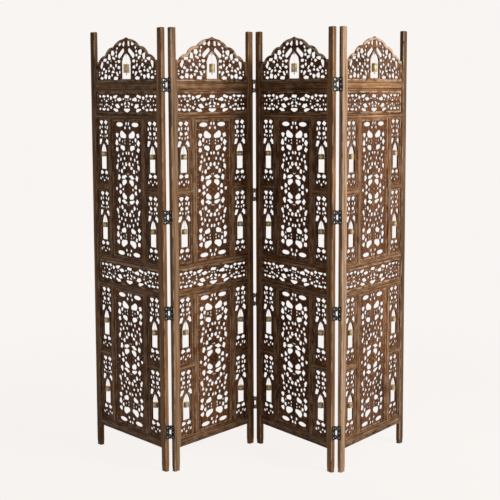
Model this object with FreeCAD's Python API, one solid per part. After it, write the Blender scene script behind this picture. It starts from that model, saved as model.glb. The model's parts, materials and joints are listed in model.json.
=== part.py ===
import FreeCAD, Part
import math
import os

# A free-standing folding screen: four carved and pierced wooden panels, joined by butt hinges,
# with small brass bells hanging in the arched windows.
# Lengths are in millimetres and angles in degrees. +Z is up, -Y is the front, the floor is z = 0.
# Each panel is drawn by itself first: x runs across from its left edge, y = 0 is the middle of
# its thickness, and z runs up. The four are then stood in their zigzag.

V = FreeCAD.Vector
UP = V(0, 0, 1)
ACROSS = V(1, 0, 0)
BACK = V(0, 1, 0)
CENTRE = V(0, 0, 0)

# The panels
panel_width = 500.0
panel_leans = (-47.6, 48.8, -52.0, 51.5)

# The stack of a panel, from the floor up
leg_height = 97.0
bottom_rail_height = 38.0
main_height = 592.0
belt_rail_height = 21.0
frieze_height = 96.0
head_rail_height = 40.0
crest_height = 184.0
post_rise = 31.0

# Frame members
stile_width = 30.0
stile_thickness = 20.0
stile_round = 4.0
lining_width = 6.0
rail_thickness = 17.0
muntin_thickness = 16.0
muntin_width = 22.0
short_rail_height = 24.0
member_round = 1.6
quirk_radius = 1.1
quirk_inset = 4.2
tenon_length = 20.0

# Boards, and the grooves that hold them
side_board_width = 84.0
board_thickness = 8.0
groove_depth = 6.0
groove_clearance = 0.1
board_float = 0.4

# Carving: each hole is let out by its board's growth, or as far as leaves the least strip beside
# its neighbours and, on the crest, the rim inside its edge
hole_growth = 1.9
crest_hole_growth = 2.8
least_strip = 2.6
crest_rim = 9.5

# Bells: a cross pin in the head of each window carries a bent wire with a shell and a clapper
pin_radius = 0.7
pin_drop = 5.0
pin_seat = 3.0
pin_hole_clearance = 0.05
wire_radius = 0.5
ring_clearance = 0.3
bead_radius = 1.8
bead_height = 1.2
shell_wall = 1.0
shell_hole_clearance = 0.15
crown_round = 2.4
mouth_flare = 0.7
clapper_rod_radius = 0.45
side_bell = {"radius": 12.0, "height": 22.0, "drop": 34.0, "weight_radius": 2.4, "weight_below": -1.5}
crest_bell = {"radius": 12.8, "height": 37.0, "drop": 39.0, "weight_radius": 2.2, "weight_below": 9.0}
clapper_weight_height = 9.0

# Hinges: surface leaves on the posts' edges, with two short barrels each
outer_hinge_heights = (167.0, 667.0, 1063.0, 1599.0)
middle_hinge_heights = (184.0, 653.0, 1120.0, 1595.0)
fold_hinge_heights = (outer_hinge_heights, middle_hinge_heights, outer_hinge_heights)
pin_offset = 3.25
leaf_height = 58.0
leaf_thickness = 1.5
leaf_inset = 2.0
leaf_corner = 3.0
barrel_radius = 2.9
barrel_height = 17.0
barrel_end_inset = 2.0
knuckle_gap = 0.3
hinge_pin_radius = 1.3
hinge_pin_clearance = 0.05
hinge_pin_head_radius = 2.2
hinge_pin_head_height = 0.9
screw_spread = 20.0
screw_length = 15.0
screw_radius = 1.5
screw_head_radius = 3.0
screw_clearance = 0.1

# How far a cutting shape runs past what it cuts
overrun = 1.0

# Where each level of the stack begins
bottom_rail_base = leg_height
lower_main_base = bottom_rail_base + bottom_rail_height
belt_1_base = lower_main_base + main_height
lower_frieze_base = belt_1_base + belt_rail_height
belt_2_base = lower_frieze_base + frieze_height
upper_main_base = belt_2_base + belt_rail_height
belt_3_base = upper_main_base + main_height
upper_frieze_base = belt_3_base + belt_rail_height
head_rail_base = upper_frieze_base + frieze_height
crest_base = head_rail_base + head_rail_height
panel_height = crest_base + crest_height + post_rise

# Across a panel: the bay lies between the posts, and the boards and rails between their linings
bay_width = panel_width - 2 * stile_width
lining_edge = stile_width + lining_width
inner_width = panel_width - 2 * lining_edge
centre_board_width = inner_width - 2 * side_board_width - 2 * muntin_width
side_board_height = (main_height - short_rail_height) / 2
tongue = groove_depth - board_float
groove_width = board_thickness + 2 * groove_clearance
# A rail's tenon keeps clear of the boards' corners above and below it
tenon_shoulder = groove_depth

# Carving tables. Places and sizes of the holes are shares of a board's half width and half
# height, from its middle; each line is across, up, wide, tall, and a lean in degrees. On the
# frieze and the crest the half width is the bay's. A hole stands on both sides of the board's
# upright axis.

# Centre board: holes that also stand in the lower half, upside down.
centre_quarter_shares = (
    (0.505, 0.925, 0.430, 0.048, 0),
    (0.080, 0.938, 0.085, 0.040, 0),
    (0.150, 0.878, 0.110, 0.032, -30),
    (0.680, 0.772, 0.190, 0.054, 0),
    (0.705, 0.666, 0.180, 0.078, 0),
    (0.690, 0.568, 0.180, 0.055, 0),
    (0.520, 0.710, 0.130, 0.048, 30),
    (0.510, 0.638, 0.080, 0.028, 0),
    (0.170, 0.698, 0.055, 0.018, 0),
    (0.165, 0.655, 0.060, 0.018, 0),
    (0.330, 0.684, 0.060, 0.022, 0),
    (0.080, 0.520, 0.115, 0.046, -25),
    (0.315, 0.508, 0.095, 0.040, -20),
    (0.455, 0.428, 0.095, 0.042, 30),
    (0.595, 0.478, 0.110, 0.042, -20),
    (0.640, 0.402, 0.115, 0.042, -10),
    (0.695, 0.322, 0.130, 0.086, 28),
    (0.205, 0.440, 0.105, 0.034, 0),
    (0.110, 0.360, 0.150, 0.056, 0),
    (0.235, 0.308, 0.170, 0.036, 0),
    (0.335, 0.362, 0.085, 0.036, 0),
    (0.400, 0.260, 0.140, 0.056, 0),
    (0.245, 0.178, 0.330, 0.042, -12),
    (0.050, 0.224, 0.055, 0.020, 0),
    (0.505, 0.044, 0.165, 0.052, 20),
    (0.580, 0.168, 0.165, 0.076, 18),
    (0.580, 0.262, 0.060, 0.024, 0),
)
# Centre board: holes on the level of its middle.
centre_row_shares = (
    (0.750, 0.0, 0.130, 0.038, 0),
    (0.320, 0.0, 0.095, 0.028, 0),
)
# Centre board: tapered holes, as two rounds, each across, up and radius; the radius is a share
# of the half width. They also stand in the lower half.
centre_taper_shares = (
    ((0.365, 0.786, 0.120), (0.155, 0.762, 0.070)),
    ((0.250, 0.588, 0.096), (0.410, 0.602, 0.070)),
    ((0.285, 0.094, 0.096), (0.140, 0.114, 0.056)),
)

# Side board, from its middle up and down.
side_hole_shares = (
    (0.380, 0.895, 0.540, 0.104, 0),
    (0.640, 0.738, 0.300, 0.115, 0),
    (0.265, 0.748, 0.260, 0.095, 0),
    (0.350, 0.602, 0.450, 0.098, 12),
    (0.570, 0.490, 0.330, 0.080, 0),
    (0.215, 0.462, 0.200, 0.085, 0),
    (0.370, -0.628, 0.540, 0.098, 0),
    (0.310, -0.782, 0.250, 0.080, 0),
    (0.640, -0.812, 0.270, 0.105, -15),
)
side_single_shares = ((0.0, -0.872, 0.240, 0.056, 0),)
side_taper_shares = (((0.520, 0.332, 0.205), (0.680, 0.272, 0.160)),)
side_window_shares = {"half_width": 0.50, "sill": -0.521, "spring": -0.007, "apex": 0.289}

# Frieze board.
frieze_hole_shares = (
    (0.114, 0.330, 0.072, 0.160, 0),
    (0.245, 0.290, 0.170, 0.340, 0),
    (0.377, 0.540, 0.150, 0.230, -12),
    (0.372, 0.190, 0.056, 0.150, 0),
    (0.518, 0.420, 0.080, 0.260, 0),
    (0.623, 0.590, 0.086, 0.200, 0),
    (0.759, 0.570, 0.134, 0.200, 0),
    (0.886, 0.560, 0.070, 0.190, 0),
    (0.473, 0.110, 0.042, 0.140, 0),
    (0.468, -0.120, 0.058, 0.170, 0),
    (0.605, 0.300, 0.044, 0.140, 0),
    (0.668, 0.150, 0.086, 0.170, 0),
    (0.668, -0.170, 0.086, 0.190, 0),
    (0.738, 0.300, 0.048, 0.180, -25),
    (0.832, 0.180, 0.036, 0.120, 0),
    (0.064, -0.050, 0.090, 0.230, -28),
    (0.050, -0.320, 0.078, 0.160, -12),
    (0.164, -0.150, 0.072, 0.170, 0),
    (0.305, -0.290, 0.148, 0.310, 12),
    (0.364, -0.640, 0.164, 0.210, 10),
    (0.518, -0.420, 0.080, 0.240, 0),
    (0.591, -0.280, 0.050, 0.150, 0),
    (0.738, -0.310, 0.054, 0.180, 25),
    (0.627, -0.600, 0.084, 0.190, 0),
    (0.759, -0.580, 0.130, 0.200, 0),
    (0.886, -0.560, 0.066, 0.180, 0),
    (0.832, -0.170, 0.036, 0.120, 0),
    (0.895, -0.170, 0.036, 0.120, 0),
    (0.034, 0.230, 0.036, 0.120, 0),
)
frieze_single_shares = (
    (0.0, 0.530, 0.155, 0.240, 0),
    (0.0, -0.640, 0.200, 0.270, 0),
)

# Crest board, up from its foot as shares of its whole height.
crest_hole_shares = (
    (0.078, 0.855, 0.068, 0.115, 24),
    (0.200, 0.848, 0.080, 0.046, -15),
    (0.295, 0.760, 0.073, 0.056, -20),
    (0.318, 0.678, 0.062, 0.080, -25),
    (0.325, 0.590, 0.076, 0.062, 0),
    (0.441, 0.656, 0.112, 0.112, 0),
    (0.409, 0.538, 0.105, 0.050, 18),
    (0.700, 0.505, 0.128, 0.062, -6),
    (0.609, 0.452, 0.078, 0.052, 0),
    (0.336, 0.455, 0.058, 0.050, 0),
    (0.236, 0.462, 0.096, 0.060, 0),
    (0.241, 0.326, 0.096, 0.062, 0),
    (0.335, 0.374, 0.070, 0.088, 0),
    (0.412, 0.306, 0.100, 0.056, 38),
    (0.505, 0.372, 0.082, 0.072, 0),
    (0.576, 0.318, 0.056, 0.048, 0),
    (0.434, 0.226, 0.108, 0.054, 0),
    (0.566, 0.252, 0.078, 0.058, 0),
    (0.808, 0.388, 0.072, 0.165, 20),
    (0.738, 0.296, 0.080, 0.048, 0),
    (0.672, 0.240, 0.084, 0.046, -25),
    (0.684, 0.124, 0.100, 0.104, 0),
    (0.564, 0.108, 0.088, 0.080, 0),
    (0.470, 0.154, 0.068, 0.056, 0),
    (0.345, 0.080, 0.134, 0.050, 0),
    (0.298, 0.182, 0.088, 0.050, 42),
    (0.809, 0.088, 0.108, 0.048, 0),
    (0.895, 0.222, 0.042, 0.032, 0),
    (0.895, 0.160, 0.042, 0.032, 0),
    (0.797, 0.208, 0.050, 0.042, 0),
    (0.212, 0.214, 0.040, 0.042, 0),
    (0.500, 0.474, 0.034, 0.056, 0),
)
crest_taper_shares = (
    ((0.220, 0.587, 0.042), (0.098, 0.705, 0.035)),
    ((0.552, 0.562, 0.052), (0.568, 0.606, 0.030)),
)
crest_window_shares = {"half_width": 0.152, "sill": 0.062, "spring": 0.413, "apex": 0.641}
# The crest's upper edge: arcs, each through a middle point to its end, from the tip outwards.
crest_tip_shares = (0.0, 1.0)
crest_arc_shares = (
    ((0.058, 0.974), (0.136, 0.954)),
    ((0.300, 0.894), (0.418, 0.788)),
    ((0.582, 0.742), (0.686, 0.606)),
    ((0.823, 0.554), (0.900, 0.467)),
)
crest_shoulder_share = 0.467


def box(low, high):
    """A box between two corners."""
    size = high - low
    return Part.makeBox(size.x, size.y, size.z, low)


def rod(radius, start, end):
    """A round rod from one point to another."""
    along = end - start
    return Part.makeCylinder(radius, along.Length, start, along)


def moved(shape, offset):
    copy = shape.copy()
    copy.translate(offset)
    return copy


def mirrored(shape, point, normal):
    return shape.mirror(point, normal)


def turned(shape, point, axis, degrees):
    copy = shape.copy()
    copy.rotate(point, axis, degrees)
    return copy


def oval(across, up, wide, tall, lean):
    """An elliptical outline, drawn flat in x and y."""
    longer = max(wide, tall) / 2
    shorter = min(wide, tall) / 2
    outline = Part.Wire(Part.Ellipse(CENTRE, longer, shorter).toShape())
    quarter = 0 if wide >= tall else 90
    outline.rotate(CENTRE, UP, quarter + lean)
    outline.translate(V(across, up, 0))
    return outline


def oval_hole(across, up, wide, tall, lean):
    """An oval hole, as a function of how far it is let out."""
    def drawn(growth):
        return oval(across, up, wide + 2 * growth, tall + 2 * growth, lean)
    return drawn


def arc(start, middle, end):
    return Part.Arc(start, middle, end).toShape()


def line(start, end):
    return Part.LineSegment(start, end).toShape()


def around(centre, radius, angle):
    """The point at this angle, in radians, on a circle drawn flat."""
    return centre + V(radius * math.cos(angle), radius * math.sin(angle), 0)


def taper(first, second):
    """The outline round two circles, each given as centre and radius, and the lines that touch both."""
    (centre_1, radius_1), (centre_2, radius_2) = first, second
    between = centre_2 - centre_1
    heading = math.atan2(between.y, between.x)
    spread = math.acos((radius_1 - radius_2) / between.Length)
    left, right = heading + spread, heading - spread
    a, b = around(centre_1, radius_1, left), around(centre_1, radius_1, right)
    c, d = around(centre_2, radius_2, right), around(centre_2, radius_2, left)
    return Part.Wire([
        arc(a, around(centre_1, radius_1, heading + math.pi), b),
        line(b, c),
        arc(c, around(centre_2, radius_2, heading), d),
        line(d, a),
    ])


def arch_curve(window):
    """The offset and radius of the two arcs that make a window's pointed head."""
    rise = window["apex"] - window["spring"]
    half = window["half_width"]
    offset = (rise ** 2 - half ** 2) / (2 * half)
    return offset, half + offset


def arch_half_width(window, up):
    """Half the clear width of a window's head at this height."""
    offset, radius = arch_curve(window)
    return math.sqrt(radius ** 2 - (up - window["spring"]) ** 2) - offset


def taper_hole(first, second):
    """A tapered hole, as a function of how far it is let out."""
    (centre_1, radius_1), (centre_2, radius_2) = first, second

    def drawn(growth):
        return taper((centre_1, radius_1 + growth), (centre_2, radius_2 + growth))
    return drawn


def arched_window(window):
    """The outline of a window with a flat sill and a pointed head."""
    half = window["half_width"]
    middle = (window["spring"] + window["apex"]) / 2
    reach = arch_half_width(window, middle)
    low_left, low_right = V(-half, window["sill"], 0), V(half, window["sill"], 0)
    left, right = V(-half, window["spring"], 0), V(half, window["spring"], 0)
    apex = V(0, window["apex"], 0)
    return Part.Wire([
        line(low_left, low_right),
        line(low_right, right),
        arc(right, V(reach, middle, 0), apex),
        arc(apex, V(-reach, middle, 0), left),
        line(left, low_left),
    ])


def window_size(shares, half_width, half_height):
    """A window's sizes in millimetres, from its table of shares."""
    return {
        "half_width": shares["half_width"] * half_width,
        "sill": shares["sill"] * half_height,
        "spring": shares["spring"] * half_height,
        "apex": shares["apex"] * half_height,
    }


def ovals(shares, half_width, half_height, sides=(1, -1), ends=(1,)):
    """Oval holes from a table of shares, on each side and each end that is asked for."""
    found = []
    for across, up, wide, tall, lean in shares:
        for side in sides:
            for end in ends:
                place = (side * across * half_width, end * up * half_height)
                size = (wide * half_width, tall * half_height)
                found.append(oval_hole(*place, *size, side * end * lean))
    return found


def tapers(shares, half_width, half_height, ends=(1,)):
    """Tapered holes from a table of shares, on both sides and at each end that is asked for."""
    found = []
    for pair in shares:
        for side in (1, -1):
            for end in ends:
                rounds = []
                for across, up, radius in pair:
                    centre = V(side * across * half_width, end * up * half_height, 0)
                    rounds.append((centre, radius * half_width))
                found.append(taper_hole(*rounds))
    return found


def let_out(holes, most, edge, rim, window=()):
    """The outlines of holes that are let out as far as an edge, a window and each other allow."""
    drawn = [hole(0) for hole in holes]
    found = []
    for number, outline in enumerate(drawn):
        growth = min(most, outline.distToShape(edge)[0] - rim)
        for fixed in window:
            growth = min(growth, outline.distToShape(fixed)[0] - least_strip)
        for other in neighbours(outline, 2 * most, drawn[:number] + drawn[number + 1:]):
            growth = min(growth, (outline.distToShape(other)[0] - least_strip) / 2)
        found.append(holes[number](max(growth, 0)))
    return found


def neighbours(outline, reach_out, others):
    """The outlines that are near enough to limit how far this one is let out."""
    reach = FreeCAD.BoundBox(outline.BoundBox)
    reach.enlarge(reach_out + least_strip)
    return [other for other in others if reach.intersect(other.BoundBox)]


def upright_board(outline, holes):
    """A board with these outlines, which are drawn flat, stood up with its middle at y = 0."""
    face = Part.makeFace([outline] + holes, "Part::FaceMakerBullseye")
    face.translate(V(0, 0, -board_thickness / 2))
    board = face.extrude(V(0, 0, board_thickness)).Solids[0]
    return turned(board, CENTRE, ACROSS, 90)


def tongued_outline(width, height):
    """A board's outline with the tongues that enter the grooves, round the middle of its face."""
    half_width, half_height = width / 2 + tongue, height / 2 + tongue
    corners = [
        V(-half_width, -half_height, 0),
        V(half_width, -half_height, 0),
        V(half_width, half_height, 0),
        V(-half_width, half_height, 0),
    ]
    return Part.makePolygon(corners + corners[:1])


def with_pin_hole(board, window):
    """The board with a bored seat on each side of its window's head, for the bell's cross pin."""
    up = window["apex"] - pin_drop
    reach = arch_half_width(window, up) + pin_seat
    bore = rod(pin_radius + pin_hole_clearance, V(-reach, 0, up), V(reach, 0, up))
    return board.cut(bore).Solids[0]


def centre_board():
    width, height = centre_board_width / 2, main_height / 2
    holes = ovals(centre_quarter_shares, width, height, ends=(1, -1))
    holes += ovals(centre_row_shares, width, height)
    holes += tapers(centre_taper_shares, width, height, ends=(1, -1))
    outline = tongued_outline(centre_board_width, main_height)
    return upright_board(outline, let_out(holes, hole_growth, outline, least_strip))


side_window = window_size(side_window_shares, side_board_width / 2, side_board_height / 2)
crest_window = window_size(crest_window_shares, bay_width / 2, crest_height)


def side_board():
    width, height = side_board_width / 2, side_board_height / 2
    holes = ovals(side_hole_shares, width, height)
    holes += ovals(side_single_shares, width, height, sides=(1,))
    holes += tapers(side_taper_shares, width, height)
    window = arched_window(side_window)
    outline = tongued_outline(side_board_width, side_board_height)
    holes = let_out(holes, hole_growth, outline, least_strip, [window])
    return with_pin_hole(upright_board(outline, holes + [window]), side_window)


def frieze_board():
    width, height = bay_width / 2, frieze_height / 2
    holes = ovals(frieze_hole_shares, width, height)
    holes += ovals(frieze_single_shares, width, height, sides=(1,))
    outline = tongued_outline(inner_width, frieze_height)
    return upright_board(outline, let_out(holes, hole_growth, outline, least_strip))


def crest_outline():
    """The crest's outline: tongued at its foot and sides, with three lobes each side of the tip."""
    half = bay_width / 2
    edge = inner_width / 2 + tongue
    shoulder = crest_shoulder_share * crest_height
    tip = V(crest_tip_shares[0] * half, crest_tip_shares[1] * crest_height, 0)
    edges = []
    for side in (1, -1):
        start = tip
        for middle, end in crest_arc_shares:
            middle_point = V(side * middle[0] * half, middle[1] * crest_height, 0)
            end_point = V(side * end[0] * half, end[1] * crest_height, 0)
            edges.append(arc(start, middle_point, end_point))
            start = end_point
        edges.append(line(start, V(side * edge, shoulder, 0)))
        edges.append(line(V(side * edge, shoulder, 0), V(side * edge, -tongue, 0)))
    edges.append(line(V(edge, -tongue, 0), V(-edge, -tongue, 0)))
    return Part.Wire(Part.__sortEdges__(edges))


def crest_board():
    width, height = bay_width / 2, crest_height
    holes = ovals(crest_hole_shares, width, height)
    holes += tapers(crest_taper_shares, width, height)
    window = arched_window(crest_window)
    outline = crest_outline()
    holes = let_out(holes, crest_hole_growth, outline, crest_rim, [window])
    return with_pin_hole(upright_board(outline, holes + [window]), crest_window)


def member_section(width, thickness):
    """A frame member's section with eased corners and two fine quirks on each face."""
    half, face, ease = width / 2, thickness / 2, member_round
    bend = ease * (1 - math.sqrt(0.5))
    edges = []
    for side in (-1, 1):
        last = V(side * (half - ease), side * face, 0)
        for place in (half - quirk_inset, -half + quirk_inset):
            start = V(side * (place + quirk_radius), side * face, 0)
            deep = V(side * place, side * (face - quirk_radius), 0)
            end = V(side * (place - quirk_radius), side * face, 0)
            edges += [line(last, start), arc(start, deep, end)]
            last = end
        corner = V(side * (-half + ease), side * face, 0)
        after = V(-side * half, side * (face - ease), 0)
        edges += [line(last, corner), arc(corner, V(-side * (half - bend), side * (face - bend), 0), after)]
        below = V(-side * half, -side * (face - ease), 0)
        turn = V(-side * (half - bend), -side * (face - bend), 0)
        edges += [line(after, below), arc(below, turn, V(-side * (half - ease), -side * face, 0))]
    return Part.Face(Part.Wire(Part.__sortEdges__(edges)))


def upright_member(width, thickness, height):
    """A moulded member standing on z = 0 with its axis at x = y = 0."""
    return member_section(width, thickness).extrude(V(0, 0, height))


def level_member(height, thickness, length):
    """A moulded member that runs from x = 0 to its length, with its foot at z = 0."""
    member = upright_member(height, thickness, length)
    member = turned(member, CENTRE, BACK, -90)
    return moved(member, V(length, 0, height / 2))


def rail(base, height, groove_above, groove_below):
    """A rail between the stiles, with a tenon at each end and grooves for the boards."""
    body = moved(level_member(height, rail_thickness, inner_width), V(lining_edge, 0, base))
    low = V(lining_edge - tenon_length, -board_thickness / 2, base + tenon_shoulder)
    high = V(panel_width - lining_edge + tenon_length, board_thickness / 2, base + height - tenon_shoulder)
    grooves = []
    near, far, half = lining_edge - overrun, panel_width - lining_edge + overrun, groove_width / 2
    if groove_above:
        top = base + height
        grooves.append(box(V(near, -half, top - groove_depth), V(far, half, top + overrun)))
    if groove_below:
        grooves.append(box(V(near, -half, base - overrun), V(far, half, base + groove_depth)))
    tenons = [
        box(low, V(lining_edge, high.y, high.z)),
        box(V(panel_width - lining_edge, low.y, low.z), high),
    ]
    cut = body.cut(Part.makeCompound(grooves))
    return cut.fuse(tenons).removeSplitter().Solids[0]


def rail_levels():
    """Each rail's base, height, and whether boards enter it above and below."""
    return (
        (bottom_rail_base, bottom_rail_height, True, False),
        (belt_1_base, belt_rail_height, True, True),
        (belt_2_base, belt_rail_height, True, True),
        (belt_3_base, belt_rail_height, True, True),
        (head_rail_base, head_rail_height, True, True),
    )


def screw_places(hinge_heights):
    """The heights of all the screws of the hinges at these heights."""
    return [
        height + step * screw_spread
        for height in hinge_heights
        for step in (-1, 0, 1)
    ]


def stile(hinge_heights):
    """The left stile: a post with a thinner lining in one with its inner edge.

    The lining is grooved and mortised, and the post's edge has pilot holes for its hinges."""
    corner = V(0, -stile_thickness / 2, 0)
    post = Part.makeBox(stile_width, stile_thickness, panel_height, corner)
    post = post.makeFillet(stile_round, post.Edges)
    shoulder = crest_base + crest_shoulder_share * crest_height
    lining = box(
        V(stile_width - stile_round, -rail_thickness / 2, bottom_rail_base),
        V(lining_edge, rail_thickness / 2, shoulder),
    )
    arrises = [
        edge for edge in lining.Edges
        if edge.BoundBox.XMin > stile_width and edge.BoundBox.YLength < overrun
    ]
    post = post.fuse(lining.makeFillet(member_round, arrises))
    cuts = [box(
        V(lining_edge - groove_depth, -groove_width / 2, bottom_rail_base + tenon_shoulder),
        V(lining_edge + overrun, groove_width / 2, shoulder + overrun),
    )]
    for base, height, _, _ in rail_levels():
        cuts.append(box(
            V(lining_edge - tenon_length - board_float, -groove_width / 2, base + tenon_shoulder),
            V(lining_edge + overrun, groove_width / 2, base + height - tenon_shoulder),
        ))
    for up in screw_places(hinge_heights):
        cuts.append(rod(screw_radius + screw_clearance, V(-overrun, 0, up), V(screw_length, 0, up)))
    return post.cut(cuts).Solids[0]


def to_right(shape):
    """The same piece at the other side of the panel."""
    return mirrored(shape, V(panel_width / 2, 0, 0), ACROSS)


def muntin(base):
    """The left muntin of a main section, with stub tenons and a groove on each side."""
    middle = lining_edge + side_board_width + muntin_width / 2
    body = upright_member(muntin_width, muntin_thickness, main_height)
    half = muntin_width / 2
    grooves = []
    for side in (-1, 1):
        inner, outer = sorted((side * (half - groove_depth), side * (half + overrun)))
        grooves.append(box(
            V(inner, -groove_width / 2, -overrun),
            V(outer, groove_width / 2, main_height + overrun),
        ))
    web = half - groove_depth
    stub = box(V(-web, -board_thickness / 2, -tongue), V(web, board_thickness / 2, main_height + tongue))
    shape = body.cut(Part.makeCompound(grooves)).fuse(stub).removeSplitter().Solids[0]
    return moved(shape, V(middle, 0, base))


def short_rail(base):
    """The left short rail of a main section, between stile and muntin."""
    body = level_member(short_rail_height, muntin_thickness, side_board_width)
    grooves = [
        box(
            V(-overrun, -groove_width / 2, low),
            V(side_board_width + overrun, groove_width / 2, high),
        )
        for low, high in (
            (-overrun, groove_depth),
            (short_rail_height - groove_depth, short_rail_height + overrun),
        )
    ]
    stub = box(
        V(-tongue, -board_thickness / 2, groove_depth),
        V(side_board_width + tongue, board_thickness / 2, short_rail_height - groove_depth),
    )
    shape = body.cut(Part.makeCompound(grooves)).fuse(stub).removeSplitter().Solids[0]
    return moved(shape, V(lining_edge, 0, base + side_board_height))


def bell_shell(bell):
    """A turned cup with a flared mouth, its crown's top at z = 0, hollow below."""
    mouth, shoulder, height = bell["radius"], bell["radius"] - mouth_flare, bell["height"]
    hole = wire_radius + shell_hole_clearance
    inset = crown_round * (1 - math.sqrt(0.5))
    inner_round = crown_round - shell_wall
    inner_inset = inner_round * (1 - math.sqrt(0.5))
    inner_shoulder = shoulder - shell_wall
    edges = [
        line(V(hole, 0, 0), V(shoulder - crown_round, 0, 0)),
        arc(
            V(shoulder - crown_round, 0, 0),
            V(shoulder - inset, 0, -inset),
            V(shoulder, 0, -crown_round),
        ),
        line(V(shoulder, 0, -crown_round), V(mouth, 0, -height)),
        line(V(mouth, 0, -height), V(mouth - shell_wall, 0, -height)),
        line(V(mouth - shell_wall, 0, -height), V(inner_shoulder, 0, -crown_round)),
        arc(
            V(inner_shoulder, 0, -crown_round),
            V(inner_shoulder - inner_inset, 0, -shell_wall - inner_inset),
            V(shoulder - crown_round, 0, -shell_wall),
        ),
        line(V(shoulder - crown_round, 0, -shell_wall), V(hole, 0, -shell_wall)),
        line(V(hole, 0, -shell_wall), V(hole, 0, 0)),
    ]
    profile = Part.Face(Part.Wire(edges))
    return profile.revolve(CENTRE, UP, 360).Solids[0]


def bell_pieces(bell):
    """The shell, the hanger and the clapper of a bell, hung from a pin at the origin along x."""
    crown = -bell["drop"]
    ring_radius = pin_radius + ring_clearance + wire_radius
    ring = Part.makeTorus(ring_radius, wire_radius, CENTRE, ACROSS)
    bead_top = crown - shell_wall
    stem = rod(wire_radius, V(0, 0, -ring_radius), V(0, 0, bead_top))
    bead = rod(bead_radius, V(0, 0, bead_top), V(0, 0, bead_top - bead_height))
    hanger = ring.fuse([stem, bead]).Solids[0]
    weight_foot = crown - bell["height"] - bell["weight_below"]
    weight_top = weight_foot + clapper_weight_height
    weight = rod(bell["weight_radius"], V(0, 0, weight_foot), V(0, 0, weight_top))
    weight = weight.makeFillet(bell["weight_radius"] / 2, weight.Edges[:1] + weight.Edges[-1:])
    link = rod(clapper_rod_radius, V(0, 0, bead_top - bead_height), V(0, 0, weight_top))
    clapper = weight.fuse(link).Solids[0]
    return [moved(bell_shell(bell), V(0, 0, crown)), hanger, clapper]


def leaf(levels):
    """A hinge leaf on an edge face at x = 0, facing -x, with its pin towards +y.

    levels are the low and high ends of its knuckles, from the hinge's middle."""
    thickness_edge = stile_thickness / 2
    half = leaf_height / 2
    plate = box(
        V(-leaf_thickness, -thickness_edge + leaf_inset, -half),
        V(0, thickness_edge, half),
    )
    outer = [
        edge for edge in plate.Edges
        if edge.BoundBox.YMax < 0 and abs(edge.BoundBox.ZLength) < leaf_thickness
    ]
    plate = plate.makeFillet(leaf_corner, outer)
    axis = V(-pin_offset, thickness_edge + pin_offset, 0)
    knuckles = []
    for low, high in levels:
        knuckles.append(rod(barrel_radius, axis + V(0, 0, low), axis + V(0, 0, high)))
        web_end = V(barrel_radius - pin_offset, axis.y, high)
        knuckles.append(box(V(-leaf_thickness, thickness_edge, low), web_end))
    whole = plate.fuse(knuckles)
    bore = rod(hinge_pin_radius + hinge_pin_clearance, axis - V(0, 0, half), axis + V(0, 0, half))
    holes = [bore]
    for step in (-1, 0, 1):
        holes.append(moved(screw_cone(screw_clearance), V(0, 0, step * screw_spread)))
    return whole.cut(holes).Solids[0]


def screw_cone(clearance):
    """The countersunk head of a screw that enters the edge face at x = 0 along +x."""
    return Part.makeCone(
        screw_head_radius + clearance,
        screw_radius + clearance,
        leaf_thickness,
        V(-leaf_thickness, 0, 0),
        ACROSS,
    )


def screw(up):
    """A countersunk wood screw through a leaf on the left edge."""
    shank = rod(screw_radius, V(0, 0, 0), V(screw_length, 0, 0))
    return moved(screw_cone(0).fuse(shank).Solids[0], V(0, 0, up))


def knuckle_levels():
    """The levels of the outer leaf's knuckles, of the inner leaf's, and of the two pins."""
    outer, inner, pins = [], [], []
    knuckle = (barrel_height - 2 * knuckle_gap) / 3
    for end in (-1, 1):
        middle = end * (leaf_height / 2 - barrel_end_inset - barrel_height / 2)
        low = middle - barrel_height / 2
        outer.append((low, low + knuckle))
        inner.append((low + knuckle + knuckle_gap, low + 2 * knuckle + knuckle_gap))
        outer.append((low + 2 * knuckle + 2 * knuckle_gap, middle + barrel_height / 2))
        pins.append((low, middle + barrel_height / 2))
    return outer, inner, pins


def hinge_pin(low, high):
    """A riveted hinge pin, with a flat head against each end of its barrel."""
    axis = V(-pin_offset, stile_thickness / 2 + pin_offset, 0)
    shank = rod(hinge_pin_radius, axis + V(0, 0, low), axis + V(0, 0, high))
    heads = [
        rod(hinge_pin_head_radius, axis + V(0, 0, low - hinge_pin_head_height), axis + V(0, 0, low)),
        rod(hinge_pin_head_radius, axis + V(0, 0, high), axis + V(0, 0, high + hinge_pin_head_height)),
    ]
    return shank.fuse(heads).removeSplitter().Solids[0]


def at_edge(shape, right_edge, pin_at_front):
    """A piece that was made for the left edge with its pin at the back, put where it belongs."""
    if pin_at_front:
        shape = mirrored(shape, CENTRE, BACK)
    if right_edge:
        shape = to_right(shape)
    return shape


# The zigzag: each fold's pin axis lies off the posts' corners, at the back or at the front.
fold_pin_at_front = (False, True, False)


def pin_place(right_edge, pin_at_front):
    """A fold's pin axis in a panel's own drawing."""
    x = panel_width + pin_offset if right_edge else -pin_offset
    y = stile_thickness / 2 + pin_offset
    return V(x, -y if pin_at_front else y, 0)


def direction(lean, place):
    """A place of a panel's drawing, turned to the panel's direction."""
    angle = math.radians(lean)
    return V(
        place.x * math.cos(angle) - place.y * math.sin(angle),
        place.x * math.sin(angle) + place.y * math.cos(angle),
        place.z,
    )


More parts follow.
